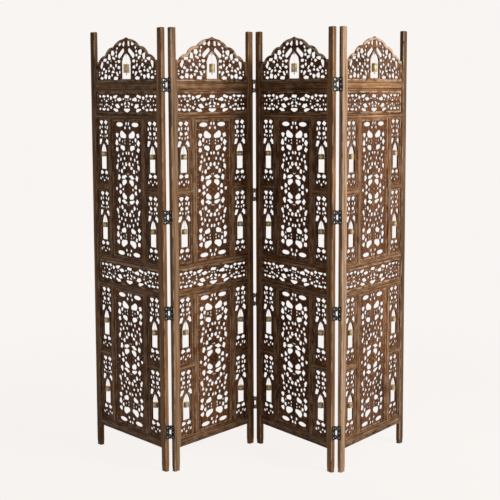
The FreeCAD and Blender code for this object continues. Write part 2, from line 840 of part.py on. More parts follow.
def stand_panels():
    """Where each panel's left edge stands, with the middle of the whole screen at the origin."""
    origins = [CENTRE]
    for fold, at_front in enumerate(fold_pin_at_front):
        joint = origins[fold] + direction(panel_leans[fold], pin_place(True, at_front))
        origins.append(joint - direction(panel_leans[fold + 1], pin_place(False, at_front)))
    reach_x, reach_y = [], []
    for lean, origin in zip(panel_leans, origins):
        for x in (stile_round, panel_width - stile_round):
            for y in (stile_round - stile_thickness / 2, stile_thickness / 2 - stile_round):
                corner = origin + direction(lean, V(x, y, 0))
                reach_x += [corner.x - stile_round, corner.x + stile_round]
                reach_y += [corner.y - stile_round, corner.y + stile_round]
    middle = V((min(reach_x) + max(reach_x)) / 2, (min(reach_y) + max(reach_y)) / 2, 0)
    return [origin - middle for origin in origins]


panel_origins = stand_panels()


def stood(shape, panel):
    """A piece of a panel's drawing, stood where that panel stands."""
    copy = turned(shape, CENTRE, UP, panel_leans[panel])
    return moved(copy, panel_origins[panel])


def export(node, solids, panel):
    placed = [stood(solid, panel) for solid in solids]
    Part.makeCompound(placed).exportStep("parts/" + node + ".step")


def both_sides(shapes):
    return shapes + [to_right(shape) for shape in shapes]


def bell_places():
    """Each bell row's node name, its bell, and the pins' places in a panel's drawing."""
    middle = V(panel_width / 2, 0, crest_base + crest_window["apex"] - pin_drop)
    rows = [("crest_bell", crest_bell, crest_window, [middle])]
    left = lining_edge + side_board_width / 2
    for row, base in enumerate(side_board_bases(), start=1):
        up = base + side_board_height / 2 + side_window["apex"] - pin_drop
        places = [V(left, 0, up), V(panel_width - left, 0, up)]
        rows.append(("side_bells_row_" + str(row), side_bell, side_window, places))
    return rows


def side_board_bases():
    """The feet of a panel's side boards, from the top down."""
    step = side_board_height + short_rail_height
    return [base + lift for base in (upper_main_base, lower_main_base) for lift in (step, 0)]


def cross_pin(window, place):
    """The thin pin across a window's head that a bell hangs from."""
    reach = arch_half_width(window, window["apex"] - pin_drop) + pin_seat
    return rod(pin_radius, place - V(reach, 0, 0), place + V(reach, 0, 0))


def make_screen():
    os.makedirs("parts", exist_ok=True)

    centre_x = panel_width / 2
    centre = centre_board()
    frieze = frieze_board()
    side = side_board()
    crest = moved(crest_board(), V(centre_x, 0, crest_base))
    centres = [
        moved(centre, V(centre_x, 0, base + main_height / 2))
        for base in (lower_main_base, upper_main_base)
    ]
    friezes = [
        moved(frieze, V(centre_x, 0, base + frieze_height / 2))
        for base in (lower_frieze_base, upper_frieze_base)
    ]
    side_x = lining_edge + side_board_width / 2
    sides = both_sides([
        moved(side, V(side_x, 0, base + side_board_height / 2))
        for base in side_board_bases()
    ])
    rails = [rail(*level) for level in rail_levels()]
    mains = (lower_main_base, upper_main_base)
    muntins = both_sides([muntin(base) for base in mains] + [short_rail(base) for base in mains])
    bells = {"side": bell_pieces(side_bell), "crest": bell_pieces(crest_bell)}
    outer, inner, pins = knuckle_levels()
    outer_leaf, inner_leaf = leaf(outer), leaf(inner)
    rivets = [hinge_pin(low, high) for low, high in pins]

    edge_hinge_heights = ((),) + fold_hinge_heights + ((),)
    for panel in range(len(panel_leans)):
        name = "panel_" + str(panel + 1) + "_"
        left_heights, right_heights = edge_hinge_heights[panel:panel + 2]
        export(name + "stiles", [stile(left_heights), to_right(stile(right_heights))], panel)
        export(name + "rails", rails, panel)
        export(name + "muntins", muntins, panel)
        export(name + "crest_board", [crest], panel)
        export(name + "frieze_boards", friezes, panel)
        export(name + "centre_boards", centres, panel)
        export(name + "side_boards", sides, panel)

        fixings = [screw(up) for up in screw_places(left_heights)]
        fixings += [to_right(screw(up)) for up in screw_places(right_heights)]
        for node, bell, window, places in bell_places():
            pieces = bells["crest" if bell is crest_bell else "side"]
            hung = []
            for place in places:
                fixings.append(cross_pin(window, place))
                hung += [moved(piece, place) for piece in pieces]
                where = panel_origins[panel] + direction(panel_leans[panel], place)
                print("bell", name + node, *[round(value, 4) for value in where])
            export(name + node, hung, panel)
        export(name + "fixings", fixings, panel)

    for fold, at_front in enumerate(fold_pin_at_front):
        name = "fold_" + str(fold + 1) + "_"
        lefts = [at_edge(outer_leaf, True, at_front)]
        lefts += [at_edge(rivet, True, at_front) for rivet in rivets]
        rights = [at_edge(inner_leaf, False, at_front)]
        export(name + "left_leaves", at_heights(fold, lefts), fold)
        export(name + "right_leaves", at_heights(fold, rights), fold + 1)
        where = panel_origins[fold] + direction(panel_leans[fold], pin_place(True, at_front))
        print("fold", fold + 1, round(where.x, 4), round(where.y, 4))
    for panel, origin in enumerate(panel_origins):
        print("panel", panel + 1, round(origin.x, 4), round(origin.y, 4))
    print("height", panel_height)


def at_heights(fold, pieces):
    return [moved(piece, V(0, 0, up)) for up in fold_hinge_heights[fold] for piece in pieces]


make_screen()
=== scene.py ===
import json
import math

import bmesh
import bpy
import numpy as np
from mathutils import Matrix, Vector, kdtree, noise
from mathutils.geometry import delaunay_2d_cdt

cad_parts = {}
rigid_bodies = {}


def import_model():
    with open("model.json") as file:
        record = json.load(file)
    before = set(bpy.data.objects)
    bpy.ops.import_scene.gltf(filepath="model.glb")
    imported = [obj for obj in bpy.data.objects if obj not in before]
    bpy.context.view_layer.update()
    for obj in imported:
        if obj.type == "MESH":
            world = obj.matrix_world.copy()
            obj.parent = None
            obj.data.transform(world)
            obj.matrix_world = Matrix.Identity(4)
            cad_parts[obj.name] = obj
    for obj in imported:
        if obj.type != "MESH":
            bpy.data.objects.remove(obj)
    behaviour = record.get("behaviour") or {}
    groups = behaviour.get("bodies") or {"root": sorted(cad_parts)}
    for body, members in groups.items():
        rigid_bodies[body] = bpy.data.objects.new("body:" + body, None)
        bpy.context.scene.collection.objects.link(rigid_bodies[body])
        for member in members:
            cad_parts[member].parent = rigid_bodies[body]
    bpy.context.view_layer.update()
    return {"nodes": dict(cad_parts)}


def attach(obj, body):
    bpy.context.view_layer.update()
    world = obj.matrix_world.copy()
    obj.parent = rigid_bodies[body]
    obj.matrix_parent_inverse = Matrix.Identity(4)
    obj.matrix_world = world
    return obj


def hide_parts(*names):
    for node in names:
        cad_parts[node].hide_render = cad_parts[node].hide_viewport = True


# The looks of a four-panel carved folding screen with small bells in its arched windows.
# Lengths are in metres. Each panel is drawn by itself first: x runs across from the panel's
# middle, y to its back and z up. Its members and boards are then stood on the panel's body.

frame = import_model()

mm = 0.001
weld_size = 0.01 * mm
panels = (1, 2, 3, 4)
folds = (1, 2, 3)

# The panel whose solids give the shapes of all four panels' pieces
drawing = 1

# The camera, as the photograph was taken
camera_place = Vector((0.003, -4.517, 1.569))
camera_down = math.radians(5.73)
camera_roll = math.radians(-0.207)
camera_lens_mm = 77.43
camera_shift_up = -0.10
camera_film_mm = 36.0
camera_reach = 100.0

# How finely a board is drawn
board_grid = 2.3 * mm
outline_step = 1.35 * mm
sample_step = 0.3 * mm
mask_step = 0.5 * mm
reach_limit = 12 * mm
ring_insets = (0.4 * mm, 1.0 * mm)
ring_clear_share = 0.93
vein_pull_share = 0.7
grid_clear_share = 0.35
grid_apart_share = 0.62
corner_angle = 0.6
flat_angle = math.radians(2)
join_size = 1e-7

# A hole's outline as the knife leaves it
knife_wander = 0.45 * mm
knife_wander_size = 8 * mm
knife_strip = 1.8 * mm
facet_counts = (4, 3, 5, 4, 3)
facet_share = 0.14
facet_mean_share = 1.27
facet_turn_share = 0.38
facet_largest = 14 * mm
inset_largest_share = 0.12

# Relief: narrow wood is a crowned stem, wider wood a leaf with a vein, and the rest has a contour
edge_round = 1.3 * mm
stem_width = 7.0 * mm
stem_fade_shares = (0.8, 1.3)
stem_crown = 1.3 * mm
leaf_width = 15.0 * mm
leaf_fade_shares = (0.9, 1.3)
leaf_vein_share = 1.2
leaf_crown = 0.3 * mm
vein_depth = 1.2 * mm
vein_spread = 0.75 * mm
contour_inset = 3.0 * mm
contour_depth = 0.5 * mm
contour_spread = 0.6 * mm
surface_swell = 0.25 * mm
swell_size = 14 * mm
swell_seed = 3.7

# Flowers, whose petals are cut round a raised heart with a ring at its edge
flower_least = 4.4 * mm
flower_clear = 0.5 * mm
flower_apart_share = 0.9
flower_petals = 6
flower_edge_share = 0.85
flower_heart_share = 0.30
flower_dome = 0.7 * mm
flower_floor_share = 0.3
heart_fall_share, heart_top_share = 1.1, 0.7
petal_depth = 1.1 * mm
petal_from_share, petal_full_share = 0.2, 0.5
petal_rise_share = 0.4
seam_power = 6
ring_spread_share = 0.09
ring_depth_share = 0.9

# Where a board is worn pale and where painted shade lies on it, by the distance from an edge
rubbed_from, rubbed_full = 0.2 * mm, 0.9 * mm
rubbed_fades, rubbed_ends = 1.2 * mm, 2.4 * mm
shade_from, shade_ends = 0.4 * mm, 1.3 * mm
edge_wear, stem_wear, heart_wear, lip_wear = 0.35, 0.4, 0.8, 0.4
stem_top_share = 0.4
contour_shade, foot_shade, edge_shade, hole_shade, rim_shade = 0.8, 0.9, 0.7, 0.8, 0.9

# A board's tongue in its groove, and the painted shade where it goes in
board_seat = 5.6 * mm
seat_reach = 2.2 * mm
seat_shade_share = 0.8

# Raised borders, which stand above a lowered field
field_drop = 1.1 * mm
rim_bevel = 1.0 * mm
border_line_share = 0.97

# Each kind of board: how wide its border and its window's border are, how far these are rubbed
# pale, how far its holes are drawn in, and the margins at its sides, its foot and its head where
# no flower is cut
board_kinds = {
    "centre_boards": {
        "piece": "centre_board", "upright": True, "seated_head": True, "border": 13.0 * mm,
        "window": 0, "wear": 0.6, "inset": 0.4 * mm, "margins": (18 * mm, 0, 0),
    },
    "side_boards": {
        "piece": "side_board", "upright": True, "seated_head": True, "border": 9.0 * mm,
        "window": 3.6 * mm, "wear": 0.6, "inset": 0.8 * mm, "margins": (14 * mm, 0, 0),
    },
    "frieze_boards": {
        "piece": "frieze_board", "upright": False, "seated_head": True, "border": 13.0 * mm,
        "window": 0, "wear": 0.6, "inset": 0.6 * mm, "margins": (0, 14 * mm, 14 * mm),
    },
    "crest_board": {
        "piece": "crest_board", "upright": False, "seated_head": False, "border": 9.5 * mm,
        "window": 3.6 * mm, "wear": 2.0, "inset": 0.2 * mm, "margins": (0, 14 * mm, 0),
    },
}

# Moulding of the frame members. A groove runs from lip to lip: across, down, which also sets its
# painted shade, and its wear
arris_round = 1.5 * mm
arris_steps = 4
post_round = 4.0 * mm
post_steps = 5
rail_least = 30 * mm
rail_groove_inset = 8.0 * mm
belt_groove_inset = 5.0 * mm
muntin_groove_inset = 4.6 * mm
groove_half_width = 1.7 * mm
groove_depth = 1.9 * mm
groove_form_shares = (
    (1.4, 0, 0.35), (1, 0.06, 0.9), (0.6, 0.72, 0), (0, 1, 0),
    (-0.6, 0.72, 0), (-1, 0.06, 0.9), (-1.4, 0, 0.35),
)
slot_depth = 6 * mm
slot_half_width = 4.1 * mm
shoulder_overlap = 1.5 * mm
member_step = 12 * mm
member_wander = 0.18 * mm
wander_across = 9 * mm
wander_along = 45 * mm
wander_apart = Vector((0, 0, 50))
sharp_angle = math.radians(50)
post_seed, lining_seed, muntin_seed = 1.0, 2.0, 10

# Bells of spun brass on bent wire. A band's form is rows of places along the shell and depths
# into it; an arc is its two ends in degrees and its number of rows
turned_steps = 40
shell_wall = 0.9 * mm
crown_round = 2.3 * mm
crown_fall = 0.6 * mm
crown_hole = 0.65 * mm
crown_shares = (0, 0.3, 0.6, 0.85)
crown_arc, lip_arc, inner_arc = (90, 0, 7), (50, -180, 10), (20, 90, 4)
mouth_flare = 0.7 * mm
flare_power = 6
lip_radius = 0.75 * mm
inner_mouth_share = 0.85
band_places_share = (0.16, 0.22, 0.74, 0.80)
band_half_width = 0.45 * mm
band_depth = 0.30 * mm
band_form_shares = ((1.6, 0), (1, 0.15), (0.5, 0.85), (0, 1), (-0.5, 0.85), (-1, 0.15), (-1.6, 0))
crown_wear, band_wear, weight_wear, bead_wear = 0.2, 0.9, 0.4, 0.3
# How much shade is painted on the crown, inside the mouth, on the clapper's weight and on the bead
crown_shade, mouth_shade, weight_shade, bead_shade = 0.5, 0.8, 0.3, 0.3
wire_radius = 0.5 * mm
wire_sides = 8
wire_steps = 12
ring_arc = (-90, 255, 26)
wrap_turns = 3
wrap_pitch = 1.15 * mm
wrap_from_share = 0.6
wrap_start, wrap_steps = 250, 10
bead_radius = 1.75 * mm
link_radius = 0.45 * mm
weight_height = 9.0 * mm
weight_widest_share = 0.66
weight_steps, bead_arc = 17, (-90, 90, 9)


def read_node(panel, kind):
    """A panel's CAD node of this kind: its vertices' places, and its triangles' vertex numbers."""
    mesh = frame["nodes"][f"panel_{panel}_{kind}"].data
    mesh.calc_loop_triangles()
    places = np.zeros(len(mesh.vertices) * 3)
    corners = np.zeros(len(mesh.loop_triangles) * 3, dtype=int)
    mesh.vertices.foreach_get("co", places)
    mesh.loop_triangles.foreach_get("vertices", corners)
    return places.reshape(-1, 3), corners.reshape(-1, 3)


def panel_placing(panel):
    """The matrix that stands a panel's drawing in its place, read from its flat faces."""
    places, corners = read_node(panel, "centre_boards")
    a, b, c = (places[corners[:, k]] for k in range(3))
    crosses = np.cross(b - a, c - a)
    areas = np.linalg.norm(crosses, axis=1)
    crosses, areas = crosses[areas > 0], areas[areas > 0, None]
    normals = crosses / areas
    spread = (normals * areas).T @ normals
    back = np.linalg.eigh(spread)[1][:, -1]
    back *= np.sign(back[1])
    near = normals @ back > math.cos(flat_angle)
    back = Vector((normals[near] * areas[near]).sum(axis=0)).normalized()
    across = Vector((back.y, -back.x, 0))
    turn = Matrix((across, back, Vector((0, 0, 1)))).transposed()
    middle = middle_of(box_of(read_node(panel, "stiles")[0] @ np.array(turn)))
    middle[2] = 0
    return turn.to_4x4() @ Matrix.Translation(Vector(middle))


def box_of(points):
    """The lowest and the highest corner of the box round these points."""
    return points.min(axis=0), points.max(axis=0)


def middle_of(box):
    return (box[0] + box[1]) / 2


placing = {panel: panel_placing(panel) for panel in panels}


def drawn_node(panel, kind):
    """A CAD node's vertices in its panel's drawing, and its triangles."""
    places, corners = read_node(panel, kind)
    drawn = np.c_[places, np.ones(len(places))] @ np.array(placing[panel].inverted()).T
    return drawn[:, :3], corners


def welded(points):
    """A number for each point, the same for points in the same place."""
    keys = np.round(points / weld_size).astype(np.int64)
    return np.unique(keys, axis=0, return_inverse=True)[1].reshape(-1)


def solid_numbers(points, corners):
    """For each vertex, the number of the solid that it belongs to."""
    weld = welded(points)
    label = np.arange(weld.max() + 1)
    links = weld[corners]
    while True:
        low = label[links].min(axis=1)
        before = label.copy()
        for k in range(3):
            np.minimum.at(label, links[:, k], low)
        label = label[label]
        if (label == before).all():
            return np.unique(label[weld], return_inverse=True)[1].reshape(-1)


def solid_boxes(panel, kind):
    """The boxes of a CAD node's solids in its panel's drawing, from the lowest and the left."""
    points, corners = drawn_node(panel, kind)
    numbers = solid_numbers(points, corners)
    boxes = [box_of(points[numbers == number]) for number in range(numbers.max() + 1)]
    return sorted(boxes, key=lambda box: (round(box[0][2], 3), box[0][0]))


# Outlines


def front_loops(kind):
    """The closed outlines of the boards' front faces, as rows of x and z, wood on one side."""
    points, corners = drawn_node(drawing, kind)
    face = points[:, 1].min() + weld_size
    front = corners[(points[corners][:, :, 1] < face).all(axis=1)]
    weld = welded(points)
    sides = {}
    for a, b in ((0, 1), (1, 2), (2, 0)):
        sides |= dict.fromkeys(zip(weld[front[:, a]].tolist(), weld[front[:, b]].tolist()))
    onward = {start: end for start, end in sides if (end, start) not in sides}
    place = dict(zip(weld.tolist(), points[:, (0, 2)].tolist()))
    loops = []
    while onward:
        start, here = onward.popitem()
        loop = [place[start]]
        while here != start:
            loop.append(place[here])
            here = onward.pop(here)
        loops.append(np.array(loop))
    return loops


def area(loop):
    """The area in an outline, negative where it runs the other way round."""
    after = np.roll(loop, -1, axis=0)
    return (loop[:, 0] * after[:, 1] - loop[:, 1] * after[:, 0]).sum() / 2


def board_loops(kind):
    """The outlines of a CAD node's first board: its own outline, then its holes."""
    loops = sorted(front_loops(kind), key=lambda loop: -abs(area(loop)))
    low, high = box_of(loops[0])
    holes = [
        loop for loop in loops[1:]
        if (loop.min(axis=0) > low).all() and (loop.max(axis=0) < high).all()
    ]
    return loops[0], holes


def turning(loop):
    """How far an outline turns at each of its points, in radians."""
    before, after = loop - np.roll(loop, 1, axis=0), np.roll(loop, -1, axis=0) - loop
    cross = before[:, 0] * after[:, 1] - before[:, 1] * after[:, 0]
    return np.arctan2(cross, (before * after).sum(axis=1))


def steps_between(a, b, step):
    """How many steps of this length go between two points, at least one."""
    return max(1, round(float(np.linalg.norm(b - a)) / step))


def through(points, step):
    """Points about a step apart on a smooth line through these points, without the last one."""
    ends = np.vstack([2 * points[0] - points[1], points, 2 * points[-1] - points[-2]])
    out = []
    for k in range(len(points) - 1):
        p0, p1, p2, p3 = ends[k:k + 4]
        count = steps_between(p1, p2, step)
        for t in np.arange(count) / count:
            a = 2 * p1 + (p2 - p0) * t
            b = (2 * p0 - 5 * p1 + 4 * p2 - p3) * t ** 2
            c = (3 * p1 - p0 - 3 * p2 + p3) * t ** 3
            out.append((a + b + c) / 2)
    return out


def resampled(loop, step):
    """An outline with evenly spaced points, smooth but for its true corners."""
    corners = np.flatnonzero(np.abs(turning(loop)) > corner_angle)
    if len(corners) == 0:
        whole = through(np.vstack([loop[-1], loop, loop[:2]]), step)
        first = steps_between(loop[-1], loop[0], step)
        return np.array(whole[first:len(whole) - steps_between(loop[0], loop[1], step)])
    loop = np.roll(loop, -corners[0], axis=0)
    corners = np.append(corners - corners[0], len(loop))
    closed = np.vstack([loop, loop[:1]])
    spans = [through(closed[a:b + 1], step) for a, b in zip(corners, corners[1:])]
    return np.array([point for span in spans for point in span])


def outward(loop):
    """The unit normal at each point of a hole's outline, towards the wood."""
    along = np.roll(loop, -1, axis=0) - np.roll(loop, 1, axis=0)
    along /= np.linalg.norm(along, axis=1)[:, None]
    normal = np.c_[along[:, 1], -along[:, 0]]
    return normal if area(loop) > 0 else -normal


def wander(point, size, seed):
    """A small smooth number that changes over this size, the same on every run."""
    return noise.noise(Vector((point[0] / size, point[1] / size, seed)))


def tree_of(points):
    """A search tree of these points, each under its own number."""
    tree = kdtree.KDTree(len(points))
    for number, (x, z) in enumerate(points):
        tree.insert((x, z, 0), number)
    tree.balance()
    return tree


def distances(points, tree):
    return np.array([tree.find((x, z, 0))[2] for x, z in points])


def distance_from(points, loop):
    """How far each point is from one outline."""
    return distances(points, tree_of(resampled(loop, 2 * sample_step)))


def hand_cut(loops, number, inset):
    """A hole's outline as a knife leaves it: drawn in, with flats, corners and unevenness."""
    loop = loops[number]
    others = np.vstack([other for k, other in enumerate(loops) if k != number])
    room = distances(loop, tree_of(others))
    radius = math.sqrt(abs(area(loop)) / math.pi)
    is_hole = radius < facet_largest
    depth = facet_share * radius * is_hole
    facets = facet_counts[number % len(facet_counts)]
    turn = math.pi * (facets * np.arange(len(loop)) / len(loop) + facet_turn_share * number)
    shift = depth * (facet_mean_share - 2 * np.abs(np.sin(turn)))
    shift = np.minimum(shift, np.maximum(0, (room - knife_strip) / 2))
    shift += [knife_wander * wander(point, knife_wander_size, number) for point in loop]
    shift -= min(inset, inset_largest_share * radius) * is_hole
    return loop + outward(loop) * shift[:, None]


def is_inside(points, loop):
    """Which of these points lie in an outline."""
    found = np.zeros(len(points), dtype=bool)
    for (x1, y1), (x2, y2) in zip(loop, np.roll(loop, -1, axis=0)):
        if y1 != y2:
            cross = (points[:, 1] < y1) != (points[:, 1] < y2)
            found ^= cross & (points[:, 0] < x1 + (points[:, 1] - y1) * (x2 - x1) / (y2 - y1))
    return found


class Wood:
    """Where a board has wood: its outlines, and how far any place is from their edges."""

    def __init__(self, outer, holes):
        self.outer = outer
        self.low = outer.min(axis=0) - 2 * mask_step
        size = outer.max(axis=0) - self.low + 4 * mask_step
        self.cells = np.ceil(size / mask_step).astype(int)
        x, z = np.meshgrid(*(np.arange(n) for n in self.cells), indexing="ij")
        centres = self.low + (np.c_[x.ravel(), z.ravel()] + 0.5) * mask_step
        self.mask = is_inside(centres, outer).reshape(self.cells)
        for hole in holes:
            first = np.floor((hole.min(axis=0) - self.low) / mask_step).astype(int)
            last = np.ceil((hole.max(axis=0) - self.low) / mask_step).astype(int)
            block = (slice(first[0], last[0]), slice(first[1], last[1]))
            near = centres.reshape(*self.cells, 2)[block].reshape(-1, 2)
            self.mask[block] &= ~is_inside(near, hole).reshape(self.mask[block].shape)
        self.tree = tree_of(np.vstack([resampled(loop, sample_step) for loop in holes + [outer]]))

    def has(self, points):
        """Which of these points are in the wood."""
        cell = np.floor((points - self.low) / mask_step).astype(int)
        cell = np.clip(cell, 0, self.cells - 1)
        return self.mask[cell[:, 0], cell[:, 1]]

    def nearest(self, points):
        """Each point's distance from the nearest edge, and the way from that edge to it."""
        distance, away = np.zeros(len(points)), np.zeros((len(points), 2))
        for k, (x, z) in enumerate(points):
            place, number, far = self.tree.find((x, z, 0))
            distance[k] = far
            away[k] = (x - place.x, z - place.y)
        away /= np.maximum(distance, 1e-9)[:, None]
        return distance, away

    def strip_width(self, points, distance, away):
        """How wide the strip of wood is at each point, measured across its nearest edge."""
        reach = np.full(len(points), reach_limit)
        for step in np.arange(mask_step, reach_limit, mask_step)[::-1]:
            reach[~self.has(points + away * step)] = step
        return distance + reach


def smooth_step(value, low, high):
    t = np.clip((value - low) / (high - low), 0, 1)
    return t * t * (3 - 2 * t)


def bell_curve(value, spread):
    """1 where the value is 0, falling to nothing a few spreads away."""
    return np.exp(-(value / spread) ** 2)


def rounded_drop(distance, radius):
    """How far a rounded edge lies below its face, at this distance from it."""
    inward = radius - np.minimum(distance, radius)
    return radius - np.sqrt(radius ** 2 - inward ** 2)


def flower_places(points, distance, allowed):
    """The middles and radii of the round patches of wood that are wide enough for a flower."""
    found = []
    for k in np.argsort(-distance):
        here, radius = points[k], distance[k]
        if radius < flower_least:
            break
        if allowed[k] and all(
            math.dist(here, other) > flower_apart_share * (radius + r) for other, r in found
        ):
            found.append((here, radius))
    return found


def carve_flowers(points, flowers, drop, worn, painted_shade):
    """Cuts petals round a raised heart into each of these patches."""
    for number, (middle, radius) in enumerate(flowers):
        offset = points - middle
        share = np.hypot(offset[:, 0], offset[:, 1]) / (radius - flower_clear)
        angle = np.arctan2(offset[:, 1], offset[:, 0]) + number
        seam = np.abs(np.cos(angle * flower_petals / 2)) ** seam_power
        petal = petal_depth * seam * smooth_step(share, petal_from_share, petal_full_share)
        petal *= 1 - petal_rise_share * share
        ring = bell_curve(share - flower_heart_share, ring_spread_share)
        heart = -flower_dome * (1 - smooth_step(share, 0, heart_fall_share * flower_heart_share))
        cut = petal + ring_depth_share * petal_depth * ring + heart
        cut += flower_floor_share * flower_dome
        blend = (1 - smooth_step(share, flower_edge_share, 1)) * (share < 1)
        drop[:] = drop * (1 - blend) + cut * blend
        # Painted shade in the petal seams and in the ring round the heart
        seams = seam * (share > flower_heart_share) + ring
        painted_shade[:] = np.maximum(painted_shade, blend * np.clip(seams, 0, 1))
        top = share < heart_top_share * flower_heart_share
        worn[:] = np.maximum(worn, heart_wear * blend * top)


def spaced(points, least):
    """These points without those that lie too close to an earlier one."""
    tree = tree_of(points)
    kept = np.ones(len(points), dtype=bool)
    for number, (x, z) in enumerate(points):
        if kept[number]:
            for place, other, far in tree.find_range((x, z, 0), least):
                kept[other] &= other <= number
    return points[kept]


def border_edges(wood, borders):
    """Points along both edges of each border's bevel, where they lie well in the wood."""
    found = []
    for loop, way, width in borders:
        for inset in (width, width + rim_bevel):
            line = loop + way * outward(loop) * inset
            clear = wood.nearest(line)[0] > ring_insets[-1] + rim_bevel / 2
            line = line[clear & wood.has(line)]
            found.append(line[distance_from(line, loop) > border_line_share * inset])
    return np.vstack(found)


def raise_borders(points, borders, wear, drop, worn, painted_shade):
    """Lowers the field between a board's flat borders, which are worn pale, with painted shade at
    their foot.
    """
    border, foot, lip = np.zeros((3, len(points)))
    for loop, way, width in borders:
        far = distance_from(points, loop)
        border = np.maximum(border, 1 - smooth_step(far, width, width + rim_bevel))
        foot = np.maximum(foot, bell_curve(far - width - rim_bevel, rim_bevel))
        lip = np.maximum(lip, bell_curve(far - width, rim_bevel))
    drop[:] = (drop + field_drop) * (1 - border)
    worn[:] = np.maximum(worn * (1 - border), wear * border + lip_wear * lip * border)
    painted_shade[:] = np.maximum(painted_shade * (1 - border), foot_shade * foot * (1 - border))


def from_sides(points):
    """How far each point is from the nearer side of its board, from its foot and its head."""
    low, high = box_of(points)
    across = np.minimum(points[:, 0] - low[0], high[0] - points[:, 0])
    return across, points[:, 1] - low[1], high[1] - points[:, 1]


def seat_shade(points, seated_head):
    """How much shade is painted on each point, near the lines where a board goes into its frame."""
    reach = np.min(from_sides(points)[:2 + seated_head], axis=0)
    return seat_shade_share * (1 - smooth_step(reach, board_seat, board_seat + seat_reach))


def ring_points(wood, holes):
    """Points on rings a little way in from each hole's edge, where they lie in the wood."""
    rings = [hole + outward(hole) * inset for hole in holes for inset in ring_insets]
    insets = [np.full(len(hole), inset) for hole in holes for inset in ring_insets]
    points = np.vstack(rings)
    clear = wood.nearest(points)[0] > ring_clear_share * np.concatenate(insets)
    return points[clear & wood.has(points)]


def grid_points(wood, outer, borders):
    """Points all over a board's wood, some of them moved onto the veins of its leaves."""
    low, high = box_of(outer)
    grid = []
    for k, z in enumerate(np.arange(low[1] + board_grid, high[1], board_grid * math.sqrt(3) / 2)):
        start = low[0] + board_grid * (1 + 0.5 * (k % 2))
        xs = np.arange(start, high[0] - board_grid / 2, board_grid)
        grid.append(np.c_[xs, np.full(len(xs), z)])
    grid = np.vstack(grid)
    grid = grid[wood.has(grid)]
    far, away = wood.nearest(grid)
    width = wood.strip_width(grid, far, away)
    offset = width / 2 - far
    on_leaf = width < leaf_width * leaf_vein_share
    to_vein = (np.abs(offset) < vein_pull_share * board_grid) & on_leaf
    grid[to_vein] += away[to_vein] * offset[to_vein, None]
    keep = far + offset * to_vein > ring_insets[-1] + grid_clear_share * board_grid
    ordered = [border_edges(wood, borders), grid[keep & to_vein], grid[keep & ~to_vein]]
    return spaced(np.vstack(ordered), grid_apart_share * board_grid)


def pierced_triangles(points, rims):
    """Triangles between these points, which start with the rims' own, and none in a hole.

    It gives the places, the triangles, which places are on a rim, and each point's place."""
    edges, start = [], 0
    for rim in rims:
        edges += [(start + k, start + (k + 1) % len(rim)) for k in range(len(rim))]
        start += len(rim)
    made = delaunay_2d_cdt([Vector(p) for p in points], edges, [], 1, join_size, True)
    flat, faces, origin = np.array([tuple(v) for v in made[0]]), np.array(made[2]), made[3]
    middles = flat[faces].mean(axis=1)
    on_rim = np.array([any(number < start for number in own) for own in origin])
    doubtful = on_rim[faces].all(axis=1)
    keep = np.ones(len(faces), dtype=bool)
    keep[doubtful] = is_inside(middles[doubtful], rims[0])
    for rim in rims[1:]:
        low, high = box_of(rim)
        near = doubtful & (middles > low).all(axis=1) & (middles < high).all(axis=1)
        found = np.flatnonzero(near)
        keep[found[is_inside(middles[found], rim)]] = False
    place_of = {number: place for place, own in enumerate(origin) for number in own}
    return flat, faces[keep], on_rim, place_of


def carved_relief(flat, on_rim, wood, borders, kind):
    """How far each place lies below the face, how far it is worn pale and how much painted shade it
    has.
    """
    far, away = wood.nearest(flat)
    far[on_rim] = 0
    width = wood.strip_width(flat, far, away)
    across = np.clip(1 - 2 * far / width, 0, 1)
    stem = 1 - smooth_step(width / stem_width, *stem_fade_shares)
    leaf = (1 - stem) * (1 - smooth_step(width / leaf_width, *leaf_fade_shares))
    field = 1 - stem - leaf
    vein = bell_curve(width / 2 - far, vein_spread)
    contour = bell_curve(far - contour_inset, contour_spread)
    drop = stem * stem_crown * across ** 2
    drop += leaf * (vein_depth * vein + leaf_crown * across ** 2)
    drop += field * contour_depth * contour
    drop += surface_swell * (1 + np.array([wander(p, swell_size, swell_seed) for p in flat]))
    near_edge = smooth_step(far, rubbed_from, rubbed_full)
    near_edge *= 1 - smooth_step(far, rubbed_fades, rubbed_ends)
    worn = edge_wear * near_edge + stem_wear * stem * (across < stem_top_share)
    # Painted shade in the leaf veins and along the contour grooves
    painted_shade = np.maximum(leaf * vein * (far > edge_round), contour_shade * field * contour)
    allowed = [reach >= least for reach, least in zip(from_sides(flat), kind["margins"])]
    flowers = flower_places(flat, far, np.all(allowed, axis=0))
    carve_flowers(flat, flowers, drop, worn, painted_shade)
    raise_borders(flat, borders, kind["wear"], drop, worn, painted_shade)
    drop += rounded_drop(far, edge_round)
    drop[on_rim] = np.maximum(drop[on_rim], edge_round)
    # Painted shade along the hole edges, where the board goes into its frame, and on the rims
    inside = smooth_step(distance_from(flat, wood.outer), shade_ends, 2 * shade_ends)
    at_edge = edge_shade * inside * (1 - smooth_step(far, shade_from, shade_ends))
    painted_shade = np.maximum(painted_shade, at_edge)
    painted_shade = np.clip(np.maximum(painted_shade, seat_shade(flat, kind["seated_head"])), 0, 1)
    painted_shade[on_rim] = rim_shade * inside[on_rim]
    return drop, worn, painted_shade


